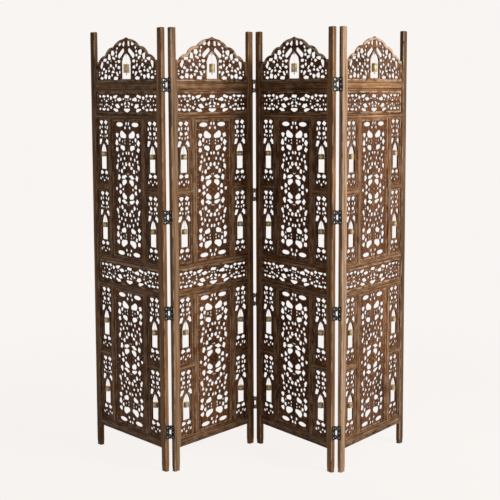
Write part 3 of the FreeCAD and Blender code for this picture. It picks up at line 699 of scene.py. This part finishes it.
def carved_mesh(outer, holes, half_thickness, kind):
    """A pierced board with both faces carved in relief between its borders and round its holes."""
    loops = [resampled(hole, outline_step) for hole in holes]
    loops.insert(0, resampled(outer, 2 * outline_step))
    cut = [hand_cut(loops, number, kind["inset"]) for number in range(1, len(loops))]
    rims = loops[:1] + cut
    wood = Wood(rims[0], cut)
    borders = [(rims[0], -1, kind["border"])]
    if kind["window"]:
        borders.append((max(cut, key=lambda rim: abs(area(rim))), 1, kind["window"]))
    points = np.vstack(rims + [ring_points(wood, cut), grid_points(wood, outer, borders)])
    flat, faces, on_rim, place_of = pierced_triangles(points, rims)
    drop, worn, painted_shade = carved_relief(flat, on_rim, wood, borders, kind)

    count = len(flat)
    places = [np.c_[flat[:, 0], side * (half_thickness - drop), flat[:, 1]] for side in (-1, 1)]
    polygons = faces.tolist() + (faces[:, ::-1] + count).tolist()
    start = 0
    for rim in rims:
        own = [place_of[start + k] for k in range(len(rim))]
        middle = 2 * count + start
        places.append(np.c_[flat[own][:, 0], np.zeros(len(own)), flat[own][:, 1]])
        for k in range(len(own)):
            after = (k + 1) % len(own)
            polygons.append((own[k], middle + k, middle + after, own[after]))
            polygons.append((middle + k, own[k] + count, own[after] + count, middle + after))
        start += len(rim)
    around, within = len(rims[0]), start - len(rims[0])
    # The outer edge is worn pale all round; the hole walls get painted shade
    worn = np.concatenate([worn, worn, np.ones(around), np.zeros(within)])
    painted_shade = np.concatenate([painted_shade, painted_shade, np.zeros(around), np.full(within, hole_shade)])
    return finished_mesh(kind["piece"], np.vstack(places), polygons, worn, painted_shade)


def finished_mesh(name, places, polygons, worn, painted_shade):
    """A smooth mesh, faces outwards, with its wear and its painted shade kept on its points."""
    mesh = bpy.data.meshes.new(name)
    mesh.from_pydata([tuple(p) for p in places], [], [tuple(p) for p in polygons])
    mesh.validate()
    for attribute_name, values in (("worn", worn), ("painted_shade", painted_shade)):
        layer = mesh.attributes.new(attribute_name, "FLOAT", "POINT")
        layer.data.foreach_set("value", np.asarray(values, dtype=np.float32))
    mesh.shade_smooth()
    mesh.update()
    work = bmesh.new()
    work.from_mesh(mesh)
    bmesh.ops.recalc_face_normals(work, faces=work.faces)
    work.to_mesh(mesh)
    work.free()
    return mesh


# Frame members


def arris_rows(half, face, radius, across_sign, through_sign):
    """A rounded arris, from the side edge to the face: across, through, worn, deep."""
    rows = []
    for k in range(arris_steps + 1):
        angle = math.pi / 2 * k / arris_steps
        across = across_sign * (half - radius + radius * math.cos(angle))
        through = through_sign * (face - radius + radius * math.sin(angle))
        rows.append((across, through, math.sin(2 * angle), 0))
    return rows


def member_outline(width, thickness, ease, grooves, slots):
    """A member's section as rows of across, through, worn and deep.

    grooves are places across its faces; slots are the sides whose edge takes a board."""
    half, face = width / 2, thickness / 2
    rows = []
    for through_sign, across_sign in ((-1, 1), (1, -1)):
        rows += arris_rows(half, face, ease, across_sign, through_sign)
        for place in sorted(grooves, reverse=True):
            for share, down, wear in groove_form_shares:
                across = across_sign * (place + share * groove_half_width)
                # A groove's floor gets painted shade
                rows.append((across, through_sign * (face - down * groove_depth), wear, down))
        rows += arris_rows(half, face, ease, -across_sign, through_sign)[::-1]
        if -across_sign in slots:
            edge, floor = -across_sign * half, -across_sign * (half - slot_depth)
            side = through_sign * slot_half_width
            corners = ((edge, side), (floor, side), (floor, -side), (edge, -side))
            # The slot's inside gets painted shade
            rows += [(*corner, 0, 1) for corner in corners]
    return rows


def swept(name, outline, stations, level, seed):
    """A member with this section through these stations, each a place along it and an inset."""
    half, face = np.abs(np.array(outline)).max(axis=0)[:2]
    places = []
    for along, inset in stations:
        for across, through, wear, depth in outline:
            spot = Vector((across / wander_across, through / wander_across, along / wander_along))
            spot.z += seed
            u = across * (1 - inset / half) + member_wander * noise.noise(spot)
            v = through * (1 - inset / face) + member_wander * noise.noise(spot + wander_apart)
            places.append((along, v, u) if level else (u, v, along))
    worn, painted_shade = zip(*[row[2:] for row in outline] * len(stations))
    polygons = tube_polygons(len(stations), len(outline))
    mesh = finished_mesh(name, places, polygons, worn, painted_shade)
    mesh.set_sharp_from_angle(angle=sharp_angle)
    return mesh


def tube_polygons(rings, count):
    """The sides and the two ends of a tube of so many rings, each of so many points."""
    polygons = []
    for ring in range(rings - 1):
        for k in range(count):
            a, b = ring * count + k, ring * count + (k + 1) % count
            polygons.append((a, b, b + count, a + count))
    last = (rings - 1) * count
    return polygons + [tuple(range(count))[::-1], tuple(range(last, last + count))]


def plain_stations(start, end):
    count = max(2, round((end - start) / member_step))
    return [(along, 0) for along in np.linspace(start, end, count + 1)]


def post_stations(height):
    """A post's stations, eased at its foot and rounded at its head."""
    turn = [math.pi / 2 * k / post_steps for k in range(post_steps + 1)]
    curve = [(1 - math.sin(angle), 1 - math.cos(angle)) for angle in turn]
    foot = [(arris_round * along, arris_round * inset) for along, inset in curve]
    head = [(height - post_round * along, post_round * inset) for along, inset in curve]
    return foot + plain_stations(2 * member_step, height - 2 * member_step) + head


# Turned pieces


def turned_mesh(name, profile, closed=False):
    """A piece turned round the z axis from rows of radius, height, worn and deep."""
    places, worn, painted_shade, rings = [], [], [], []
    for radius, height, wear, depth in profile:
        count = 1 if radius < weld_size else turned_steps
        angles = [2 * math.pi * k / turned_steps for k in range(count)]
        rings.append(range(len(places), len(places) + count))
        reach = radius if count > 1 else 0
        places += [(reach * math.cos(a), reach * math.sin(a), height) for a in angles]
        worn += [wear] * count
        painted_shade += [depth] * count
    polygons = []
    for low, high in zip(rings, rings[1:] + rings[:closed]):
        for k in range(turned_steps):
            after = (k + 1) % turned_steps
            if len(low) == 1 and len(high) > 1:
                polygons.append((low[0], high[after], high[k]))
            elif len(high) == 1 and len(low) > 1:
                polygons.append((low[k], low[after], high[0]))
            elif len(low) > 1:
                polygons.append((low[k], low[after], high[after], high[k]))
    return finished_mesh(name, places, polygons, worn, painted_shade)


def arc_rows(centre, height, radius, arc, depth=0.0):
    """Rows of a profile round an arc, which is its two ends in degrees and its number of rows."""
    rows = []
    for angle in np.radians(np.linspace(*arc)):
        place = (centre + radius * math.cos(angle), height + radius * math.sin(angle))
        rows.append((*place, abs(math.sin(2 * angle)), depth))
    return rows


def shell_profile(radius, height):
    """A spun cup with its crown at z = 0: a domed crown, two double bands and a rolled lip."""
    shoulder = radius - mouth_flare
    bend = shoulder - crown_round
    bend_z = -crown_fall - crown_round
    rows = []
    for share in crown_shares:
        across = crown_hole + share * (bend - crown_hole)
        rows.append((across, -crown_fall * share ** 2, crown_wear, crown_shade * (share == 0)))
    rows += arc_rows(bend, bend_z, crown_round, crown_arc)
    for place in band_places_share:
        for reach, down in band_form_shares:
            z = -place * height + reach * band_half_width
            side = shoulder + mouth_flare * (z / height) ** flare_power
            # A band's groove gets painted shade
            rows.append((side - down * band_depth, z, band_wear * (abs(reach) > 1), down))
    rows += arc_rows(radius - lip_radius, lip_radius - height, lip_radius, lip_arc)
    # Inside the cup and under the crown: painted shade
    inside = shoulder - shell_wall
    rows.append((inside, -inner_mouth_share * height, 0, mouth_shade))
    rows.append((inside, bend_z, 0, 1))
    rows += arc_rows(inside - crown_round / 2, bend_z, crown_round / 2, inner_arc, 1)
    rows.append((crown_hole, -shell_wall, 0, 1))
    return rows


def clapper_profile(weight_radius, link_top, foot):
    """A thin link that swells into a drop-shaped weight, from its foot up."""
    rows = []
    for t in np.linspace(1, 0, weight_steps):
        fall = max(0, (t - weight_widest_share) / (1 - weight_widest_share))
        swell = math.sqrt(max(0, 1 - fall ** 2)) * smooth_step(t, 0, weight_widest_share)
        reach = max(0 if t == 1 else link_radius, weight_radius * swell)
        rows.append((reach, foot + (1 - t) * weight_height, weight_wear, weight_shade))
    return rows + [(reach, link_top, 0, mouth_shade) for reach in (link_radius, 0)]


def bead_profile(top, foot):
    """The small bead under a crown, which holds the wire and the clapper."""
    middle, half = (top + foot) / 2, (top - foot) / 2
    rows = []
    for angle in np.radians(np.linspace(*bead_arc)):
        radius = wire_radius + (bead_radius - wire_radius) * math.cos(angle)
        rows.append((radius, middle + half * math.sin(angle), bead_wear, bead_shade))
    return [(0, foot, 0, crown_shade)] + rows + [(0, top, 0, crown_shade)]


def eye_path(ring_radius, foot):
    """A bent wire from its foot up, round a pin along x at the origin and down round itself."""
    points = [(0, 0, z) for z in np.linspace(foot, -ring_radius, wire_steps)[:-1]]
    for turn in np.radians(np.linspace(*ring_arc)):
        points.append((0, ring_radius * math.cos(turn), ring_radius * math.sin(turn)))
    start = -ring_radius - wire_radius
    for turn in np.linspace(0, wrap_turns, wrap_turns * wrap_steps):
        angle = math.radians(wrap_start + 360 * turn)
        reach = 2 * wire_radius * min(1, wrap_from_share + turn)
        points.append((reach * math.sin(angle), reach * math.cos(angle), start - wrap_pitch * turn))
    return [Vector(point) for point in points]


def tube_mesh(name, path, radius):
    """A round wire along these points, closed at both ends."""
    places, side = [], Vector((1, 0, 0))
    for before, here, after in zip([path[0]] + path[:-1], path, path[1:] + [path[-1]]):
        along = (after - before).normalized()
        side = (side - along * side.dot(along)).normalized()
        other = along.cross(side)
        for k in range(wire_sides):
            angle = 2 * math.pi * k / wire_sides
            places.append(here + radius * (math.cos(angle) * side + math.sin(angle) * other))
    blank = [0] * len(places)
    return finished_mesh(name, places, tube_polygons(len(path), wire_sides), blank, blank)


# Materials

pale_ground = (0.947, 0.913, 0.888)

# Each timber's shadows, middle tone and lights
frame_colours = ((0.038, 0.017, 0.007), (0.152, 0.071, 0.028), (0.320, 0.170, 0.077))
board_colours = ((0.036, 0.013, 0.005), (0.138, 0.055, 0.022), (0.270, 0.122, 0.055))
# Near black: the colour of the wood's pores, and of its painted shade
wood_deep = (0.008, 0.004, 0.002)
wood_worn_and_sheen = (0.470, 0.335, 0.230)
upright_wear_and_sheen, level_wear, level_board_wear = 0.75, 0.55, 0.85

# Noise in the wood: features a metre across the grain and along it, detail and distortion
wood_figure = {
    "fibre": (620, 8, 3.0, 0.0), "streak": (95, 3.2, 3.0, 0.6), "blotch": (13, 4.0, 2.0, 0.0),
    "pore": (1500, 24, 1.0, 0.0), "band": (70, 2.2, 2.0, 0.4), "patch": (60, 22, 3.0, 0.0),
    "rub": (260, 5, 3.0, 0.0),
}
streak_share, fibre_share, blotch_share = 0.48, 0.27, 0.25
low_tones, high_tones = (0.36, 0.51), (0.50, 0.64)
pore_range, band_range = (0.58, 0.68), (0.52, 0.66)
patch_range, rub_range = (0.40, 0.62), (0.36, 0.62)
band_share, pore_share, deep_share = 0.45, 0.55, 0.82
wood_rough, fibre_rough, recess_rough = 0.36, 0.22, 0.2
varnish_shine = 0.07
grain_height, grain_strength, grain_fibre_share = 0.25 * mm, 0.35, 0.6

# Each metal's colour, its stains, how metallic and rough it is, and its brushing's scale and height
metals = {
    "brass_brushed": ((0.46, 0.35, 0.20), (0.24, 0.17, 0.10), 0.9, 0.55, 2600, 0.05 * mm),
    "brass_darkened": ((0.15, 0.11, 0.07), (0.08, 0.06, 0.04), 0.9, 0.5, 2600, 0.05 * mm),
    "iron_black": ((0.020, 0.019, 0.018), (0.045, 0.036, 0.030), 0.85, 0.48, 1400, 0.08 * mm),
    "steel_wire": ((0.42, 0.41, 0.40), (0.24, 0.22, 0.20), 1.0, 0.38, 1400, 0.05 * mm),
}
# The colour of the shade painted in a metal's hollows
metal_deep = (0.030, 0.022, 0.014)
brush_stretch, brush_detail = 12, 2.0
stain_figure, stain_range, stain_share = (90, 90, 3.0), (0.42, 0.66), 0.75
metal_deep_share, stain_rough, clean_smooth, brush_strength = 0.8, 0.3, 0.1, 0.3


def new_material(name):
    """A material with its node tree and its shader."""
    material = bpy.data.materials.new(name)
    material.use_nodes = True
    return material, material.node_tree, material.node_tree.nodes["Principled BSDF"]


def add_node(tree, kind, settings=(), **inputs):
    """A node with these settings, and its inputs linked to sockets or set to values."""
    node = tree.nodes.new(kind)
    for name, value in dict(settings).items():
        setattr(node, name, value)
    for name, value in inputs.items():
        put(tree, node, name.replace("_", " "), value)
    return node


def put(tree, node, name, value):
    socket = node.inputs[int(name)] if name.isdigit() else node.inputs[name]
    if isinstance(value, bpy.types.NodeSocket):
        tree.links.new(value, socket)
    else:
        socket.default_value = value


def maths(tree, operation, first, second, clamp=False):
    settings = {"operation": operation, "use_clamp": clamp}
    return add_node(tree, "ShaderNodeMath", settings, **{"0": first, "1": second}).outputs[0]


def times(tree, first, second, clamp=False):
    return maths(tree, "MULTIPLY", first, second, clamp)


def plus(tree, first, second, clamp=False):
    return maths(tree, "ADD", first, second, clamp)


def ranged(tree, value, low, high, to_low=0.0, to_high=1.0):
    """A value's smooth rise from one level to another while it goes from low to high."""
    limits = {"From_Min": low, "From_Max": high, "To_Min": to_low, "To_Max": to_high}
    settings = {"interpolation_type": "SMOOTHSTEP"}
    return add_node(tree, "ShaderNodeMapRange", settings, Value=value, **limits).outputs[0]


def mixed(tree, factor, first, second):
    node = add_node(tree, "ShaderNodeMix", {"data_type": "RGBA"}, Factor=factor)
    numbers = [str(k) for k, socket in enumerate(node.inputs) if socket.type == "RGBA"]
    for number, value in zip(numbers, (first, second)):
        put(tree, node, number, (*value, 1) if isinstance(value, tuple) else value)
    return [socket for socket in node.outputs if socket.type == "RGBA"][0]


def vector_maths(tree, operation, **inputs):
    return add_node(tree, "ShaderNodeVectorMath", {"operation": operation}, **inputs).outputs


def attribute(tree, name, kind="GEOMETRY", output="Fac"):
    settings = {"attribute_name": name, "attribute_type": kind}
    return add_node(tree, "ShaderNodeAttribute", settings).outputs[output]


def grain_coordinates(tree):
    """Places on a piece, shifted by the piece's own amount so that no two show the same grain."""
    place = add_node(tree, "ShaderNodeTexCoord").outputs["Object"]
    shift = attribute(tree, "grain_shift", "OBJECT", "Vector")
    return vector_maths(tree, "ADD", **{"0": place, "1": shift})[0]


def grain_noise(tree, place, along_axis, across_scale, along_scale, detail, distortion=0.0):
    """Noise drawn out along the grain, as so many features a metre across it and along it."""
    scale = [across_scale] * 3
    scale[along_axis] = along_scale
    stretch = add_node(tree, "ShaderNodeMapping", Vector=place, Scale=scale).outputs[0]
    inputs = {"Vector": stretch, "Scale": 1.0, "Detail": detail, "Distortion": distortion}
    return add_node(tree, "ShaderNodeTexNoise", **inputs).outputs[0]


def bumped(tree, height, strength, distance):
    inputs = {"Height": height, "Strength": strength, "Distance": distance}
    return add_node(tree, "ShaderNodeBump", **inputs).outputs[0]


def wood(name, along_axis, colours, wear):
    """Stained, varnished hardwood, grain along an axis: pale where worn, with painted light, shade
    and sheen.
    """
    material, tree, shader = new_material(name)
    shadow, middle, light = colours
    place = grain_coordinates(tree)
    figure = {key: grain_noise(tree, place, along_axis, *form) for key, form in wood_figure.items()}
    fibre, pore = figure["fibre"], ranged(tree, figure["pore"], *pore_range)
    tone = plus(tree, times(tree, figure["streak"], streak_share), times(tree, fibre, fibre_share))
    tone = plus(tree, tone, times(tree, figure["blotch"], blotch_share))
    colour = mixed(tree, ranged(tree, tone, *low_tones), shadow, middle)
    colour = mixed(tree, ranged(tree, tone, *high_tones), colour, light)
    band = ranged(tree, figure["band"], *band_range)
    colour = mixed(tree, times(tree, band, band_share), colour, shadow)
    colour = mixed(tree, times(tree, pore, pore_share), colour, wood_deep)
    # Each piece's tone scales its colour, which paints light and shade on some panels and posts
    toned = {"Vector": colour, "Scale": attribute(tree, "tone", "OBJECT")}
    colour = vector_maths(tree, "SCALE", **toned)[0]

    painted_shade = attribute(tree, "painted_shade")
    wear_and_sheen = times(tree, attribute(tree, "worn"), ranged(tree, figure["patch"], *patch_range))
    # A pale sheen, with some wear, painted all over the posts that are given it
    streaks = ranged(tree, figure["rub"], *rub_range)
    sheen_and_wear_all_over = times(tree, attribute(tree, "wear_and_sheen", "OBJECT"), streaks)
    wear_and_sheen = plus(tree, wear_and_sheen, sheen_and_wear_all_over, True)
    colour = mixed(tree, times(tree, wear_and_sheen, wear), colour, wood_worn_and_sheen)
    # Painted shade in grooves, seams, hole walls and where a board goes into its frame
    colour = mixed(tree, times(tree, painted_shade, deep_share, True), colour, wood_deep)
    rough = plus(tree, times(tree, fibre, fibre_rough), wood_rough)
    height = maths(tree, "SUBTRACT", times(tree, fibre, grain_fibre_share), pore)
    put(tree, shader, "Base Color", colour)
    put(tree, shader, "Roughness", plus(tree, rough, times(tree, painted_shade, recess_rough)))
    put(tree, shader, "Specular IOR Level", varnish_shine)
    put(tree, shader, "Normal", bumped(tree, height, grain_strength, grain_height))
    return material


def metal(name, colour, dull, metallic, rough, grain_scale, brushing_height):
    """A metal with fine brushing, duller stains and painted shade in its hollows."""
    material, tree, shader = new_material(name)
    place = grain_coordinates(tree)
    brush = grain_noise(tree, place, 2, grain_scale / brush_stretch, grain_scale, brush_detail)
    stain = grain_noise(tree, place, 2, *stain_figure)
    stained = times(tree, ranged(tree, stain, *stain_range), stain_share)
    # Painted shade inside the cup, in its bands, under its crown and on the clapper
    hollow_shade = times(tree, attribute(tree, "painted_shade"), metal_deep_share, True)
    base = mixed(tree, stained, colour, dull)
    roughness = plus(tree, times(tree, stain, stain_rough), rough - clean_smooth)
    put(tree, shader, "Base Color", mixed(tree, hollow_shade, base, metal_deep))
    put(tree, shader, "Metallic", metallic)
    put(tree, shader, "Roughness", roughness)
    put(tree, shader, "Normal", bumped(tree, brush, brush_strength, brushing_height))
    return material


upright, level = 2, 0
upright_frame = wood("wood_frame_upright", upright, frame_colours, upright_wear_and_sheen)
level_frame = wood("wood_frame_level", level, frame_colours, level_wear)
upright_board = wood("wood_carved_upright", upright, board_colours, level_wear)
level_board = wood("wood_carved_level", level, board_colours, level_board_wear)
brass, dark_brass, black_iron, steel = (metal(name, *look) for name, look in metals.items())


# Putting pieces on the panels

# How light each panel's timber is drawn, which paints light and shade on it: each of its two posts,
# lighter or darker by how the key lamp falls on it, with how much pale sheen, and some wear, is
# painted all over it; and the rest of the panel, darker on the panels that face away from the key
# lamp. And how light each rail is, from the lowest up
post_light_and_sheen_shares = {
    1: ((0.75, 0), (1.20, 0.10)),
    2: ((0.88, 0.45), (1.20, 0)),
    3: ((1.00, 0), (1.10, 0.10)),
    4: ((0.90, 1.00), (0.52, 0.10)),
}
panel_light_and_shade_shares = {1: 0.9, 2: 1.0, 3: 0.9, 4: 1.05}
rail_tone_shares = (0.75, 1.0, 1.0, 1.05, 1.08)
shift_steps, shift_ranges = (0.37, 0.73, 1.31), (5.0, 7.0, 11.0)


def new_object(name, data):
    """An object of this mesh, lamp or camera, in the scene."""
    made = bpy.data.objects.new(name, data)
    bpy.context.scene.collection.objects.link(made)
    return made


def put_piece(panel, form, kind, mesh, place, slot, material, turned=False, tone=None, wear_and_sheen=0.0):
    """A piece with this mesh at a place of its panel's drawing, in place of a CAD node's solid."""
    piece = new_object(f"panel_{panel}_{form}", mesh)
    if not mesh.materials:
        mesh.materials.append(material)
    turn = Matrix.Rotation(math.pi, 4, "Z") if turned else Matrix.Identity(4)
    piece.matrix_world = placing[panel] @ Matrix.Translation(Vector(place)) @ turn
    number = len(bpy.data.objects)
    piece["grain_shift"] = [step * number % most for step, most in zip(shift_steps, shift_ranges)]
    # Light and shade are painted on by scaling the piece's whole colour; a pale sheen, with some
    # wear, is painted all over some posts
    piece["tone"] = tone or panel_light_and_shade_shares[panel]
    piece["wear_and_sheen"] = wear_and_sheen
    node = f"panel_{panel}_{kind}"
    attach(piece, node if "bell" in kind else f"panel_{panel}")
    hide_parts(node)


def make_boards():
    """The four kinds of carved board, each made once and set in every panel."""
    for kind, looks in board_kinds.items():
        outer, holes = board_loops(kind)
        origin = middle_of(box_of(outer))
        half_thickness = drawn_node(drawing, kind)[0][:, 1].max()
        mesh = carved_mesh(outer - origin, [hole - origin for hole in holes], half_thickness, looks)
        material = upright_board if looks["upright"] else level_board
        for panel in panels:
            for number, box in enumerate(solid_boxes(panel, kind), start=1):
                form = f"carved_{looks['piece']}_{number}"
                put_piece(panel, form, kind, mesh, middle_of(box), "wood_carved", material)


def put_member(form, kind, mesh, place, material, tone_share=1):
    for panel in panels:
        tone = panel_light_and_shade_shares[panel] * tone_share
        put_piece(panel, f"moulded_{form}", kind, mesh, place, "wood_frame", material, tone=tone)


def make_posts():
    """Both posts of every panel, as wide as their heads, each with its lining."""
    points = drawn_node(drawing, "stiles")[0]
    right = points[points[:, 0] > 0]
    low, high = box_of(right[right[:, 2] > right[:, 2].max() - 2 * post_round])
    edge, width, height = low[0], high[0] - low[0], high[2]
    outline = member_outline(width, high[1] - low[1], post_round, (), ())
    post = swept("stile", outline, post_stations(height), False, post_seed)
    post_place = middle_of((low, high)) * (1, 1, 0)
    low, high = box_of(right[right[:, 0] < edge - weld_size])
    high[0] = edge + post_round
    outline = member_outline(high[0] - low[0], high[1] - low[1], arris_round, (), (-1,))
    lining = swept("lining", outline, plain_stations(low[2], high[2]), False, lining_seed)
    lining_place = middle_of((low, high)) * (1, 1, 0)
    pieces = (("stile", post, post_place), ("lining", lining, lining_place))
    for panel in panels:
        for side, across, looks in zip(("left", "right"), (-1, 1), post_light_and_sheen_shares[panel]):
            for form, mesh, place in pieces:
                put_piece(
                    panel, f"moulded_{form}_{side}", "stiles", mesh, place * (across, 1, 1),
                    "wood_frame", upright_frame, side == "left", *looks,
                )


def make_members():
    """Rails, muntins and short rails with moulded faces, each made once for all panels."""
    inner_half = solid_boxes(drawing, "stiles")[1][0][0]
    for number, (low, high) in enumerate(solid_boxes(drawing, "rails"), start=1):
        width, thickness = high[2] - low[2], high[1] - low[1]
        groove = width / 2 - (rail_groove_inset if width > rail_least else belt_groove_inset)
        slots = (1,) if number == 1 else (1, -1)
        outline = member_outline(width, thickness, arris_round, (groove, -groove), slots)
        reach = inner_half + shoulder_overlap
        mesh = swept(f"rail_{number}", outline, plain_stations(-reach, reach), True, number)
        place, tone_share = (0, 0, middle_of((low, high))[2]), rail_tone_shares[number - 1]
        put_member(f"rail_{number}", "rails", mesh, place, level_frame, tone_share)
    for number, (low, high) in enumerate(solid_boxes(drawing, "muntins"), start=1):
        size = high - low
        is_level = size[2] <= size[0]
        width, length = sorted((size[0], size[2]))
        groove = width / 2 - muntin_groove_inset
        outline = member_outline(width, size[1], arris_round, (groove, -groove), (1, -1))
        stations = plain_stations(-length / 2, length / 2)
        mesh = swept(f"muntin_{number}", outline, stations, is_level, number + muntin_seed)
        material = level_frame if is_level else upright_frame
        put_member(f"muntin_{number}", "muntins", mesh, middle_of((low, high)), material)


def bell_boxes(panel, kind):
    """The boxes of each bell of a node: its shell, its hanger and its clapper, from the left."""
    boxes = sorted(solid_boxes(panel, kind), key=lambda box: middle_of(box)[0])
    for k in range(0, len(boxes), 3):
        shell, *inner = sorted(boxes[k:k + 3], key=lambda box: box[0][0] - box[1][0])
        yield shell, *sorted(inner, key=lambda box: -box[1][2])


def bell_meshes(name, shell, hanger, clapper):
    """The meshes of one kind of bell, drawn with its pin at the origin, and its pin's place."""
    ring_reach = (hanger[1][1] - hanger[0][1]) / 2
    pin = hanger[1][2] - ring_reach
    crown, mouth = shell[1][2] - pin, shell[0][2] - pin
    radius = (shell[1][0] - shell[0][0]) / 2
    cup = turned_mesh(f"{name}_shell", shell_profile(radius, crown - mouth), True)
    cup.transform(Matrix.Translation((0, 0, crown)))
    bead_foot, weight_foot = hanger[0][2] - pin, clapper[0][2] - pin
    wire = tube_mesh(f"{name}_wire", eye_path(ring_reach - wire_radius, bead_foot), wire_radius)
    bead = turned_mesh(f"{name}_bead", bead_profile(crown - shell_wall, bead_foot))
    weight_radius = (clapper[1][0] - clapper[0][0]) / 2
    profile = clapper_profile(weight_radius, bead_foot, weight_foot)
    weight = turned_mesh(f"{name}_clapper", profile)
    return (
        ("shell", cup, "brass", brass), ("wire", wire, "steel", steel),
        ("bead", bead, "steel", steel), ("clapper", weight, "brass", dark_brass),
    ), pin - hanger[1][2]


def make_bells():
    """The bells: a spun shell, a bent wire, a bead and a clapper, each kind made once."""
    rows = [f"side_bells_row_{row}" for row in (1, 2, 3, 4)]
    made = {}
    for panel in panels:
        for kind in ["crest_bell", *rows]:
            name = "side_bell" if kind in rows else kind
            for number, boxes in enumerate(bell_boxes(panel, kind), start=1):
                if name not in made:
                    made[name] = bell_meshes(name, *boxes)
                pieces, below_top = made[name]
                hanger = boxes[1]
                place = middle_of(hanger)
                place[2] = hanger[1][2] + below_top
                for form, mesh, slot, material in pieces:
                    put_piece(panel, f"{kind}_{number}_{form}", kind, mesh, place, slot, material)


def dress(node, material):
    """A CAD node that keeps its shape gets its finish."""
    materials = frame["nodes"][node].data.materials
    materials.clear()
    materials.append(material)


make_boards()
make_posts()
make_members()
make_bells()
for fold in folds:
    dress(f"fold_{fold}_left_leaves", black_iron)
    dress(f"fold_{fold}_right_leaves", black_iron)
for panel in panels:
    dress(f"panel_{panel}_fixings", steel)


# The stage

floor_half_size = 40.0
floor_rough, floor_shine = 0.9, 0.1
shadow_reach = (1.5, 3.0)
floor_glow_share = 0.94
ambient_share = 0.22

# Each lamp's place, size, power and colour; all shine on the middle of the screen
lamps = {
    "key": ((3.55, -2.05, 2.5), (2.0, 2.2), 220, (1.0, 0.97, 0.93)),
    "fill": ((-3.2, -3.4, 1.8), (2.5, 2.5), 12, (0.95, 0.97, 1.0)),
    "back": ((-1.8, 4.2, 2.6), (2.5, 2.5), 90, (1.0, 0.98, 0.95)),
}
light_target = Vector((0, 0, 0.9))


def soft_light(name, place, size, power, colour):
    data = bpy.data.lights.new(name, "AREA")
    data.shape = "RECTANGLE"
    data.size, data.size_y = size
    data.energy = power
    data.color = colour
    lamp = new_object(name, data)
    lamp.location = place
    lamp.rotation_euler = (light_target - Vector(place)).to_track_quat("-Z", "Y").to_euler()


def seen_directly(tree):
    """1 for what the camera sees, itself or in a mirror or glass, and 0 for light on the object."""
    path = add_node(tree, "ShaderNodeLightPath").outputs
    total = plus(tree, path["Is Camera Ray"], path["Is Glossy Ray"])
    return plus(tree, total, path["Is Transmission Ray"], True)


def make_floor():
    """A floor that looks as pale as the ground behind it, but for the object's shadow."""
    size = floor_half_size
    corners = [(-size, -size, 0), (size, -size, 0), (size, size, 0), (-size, size, 0)]
    mesh = bpy.data.meshes.new("floor")
    mesh.from_pydata(corners, [], [(0, 1, 2, 3)])
    floor = new_object("floor", mesh)
    material, tree, shader = new_material("pale_floor")
    put(tree, shader, "Base Color", (*pale_ground, 1))
    put(tree, shader, "Roughness", floor_rough)
    put(tree, shader, "Specular IOR Level", floor_shine)
    glow = add_node(tree, "ShaderNodeEmission", Color=(*pale_ground, 1), Strength=1.0)
    place = add_node(tree, "ShaderNodeNewGeometry").outputs["Position"]
    far = vector_maths(tree, "LENGTH", **{"0": place})["Value"]
    share = ranged(tree, far, *shadow_reach, floor_glow_share, 1.0)
    share = times(tree, seen_directly(tree), share)
    looks = {"0": share, "1": shader.outputs[0], "2": glow.outputs[0]}
    mix = add_node(tree, "ShaderNodeMixShader", **looks)
    put(tree, tree.nodes["Material Output"], "Surface", mix.outputs[0])
    mesh.materials.append(material)


def make_world():
    world = bpy.data.worlds.new("studio")
    bpy.context.scene.world = world
    world.use_nodes = True
    tree = world.node_tree
    strength = ranged(tree, seen_directly(tree), 0.0, 1.0, ambient_share, 1.0)
    put(tree, tree.nodes["Background"], "Color", (*pale_ground, 1))
    put(tree, tree.nodes["Background"], "Strength", strength)


def make_camera():
    data = bpy.data.cameras.new("camera")
    data.lens = camera_lens_mm
    data.sensor_width = camera_film_mm
    data.shift_y = camera_shift_up
    data.clip_end = camera_reach
    camera = new_object("camera", data)
    tilt = Matrix.Rotation(math.pi / 2 - camera_down, 4, "X")
    roll = Matrix.Rotation(camera_roll, 4, "Z")
    camera.matrix_world = Matrix.Translation(camera_place) @ tilt @ roll
    bpy.context.scene.camera = camera


make_floor()
make_world()
for lamp_name, lamp_looks in lamps.items():
    soft_light(lamp_name, *lamp_looks)
make_camera()
bpy.context.scene.view_settings.view_transform = "Standard"
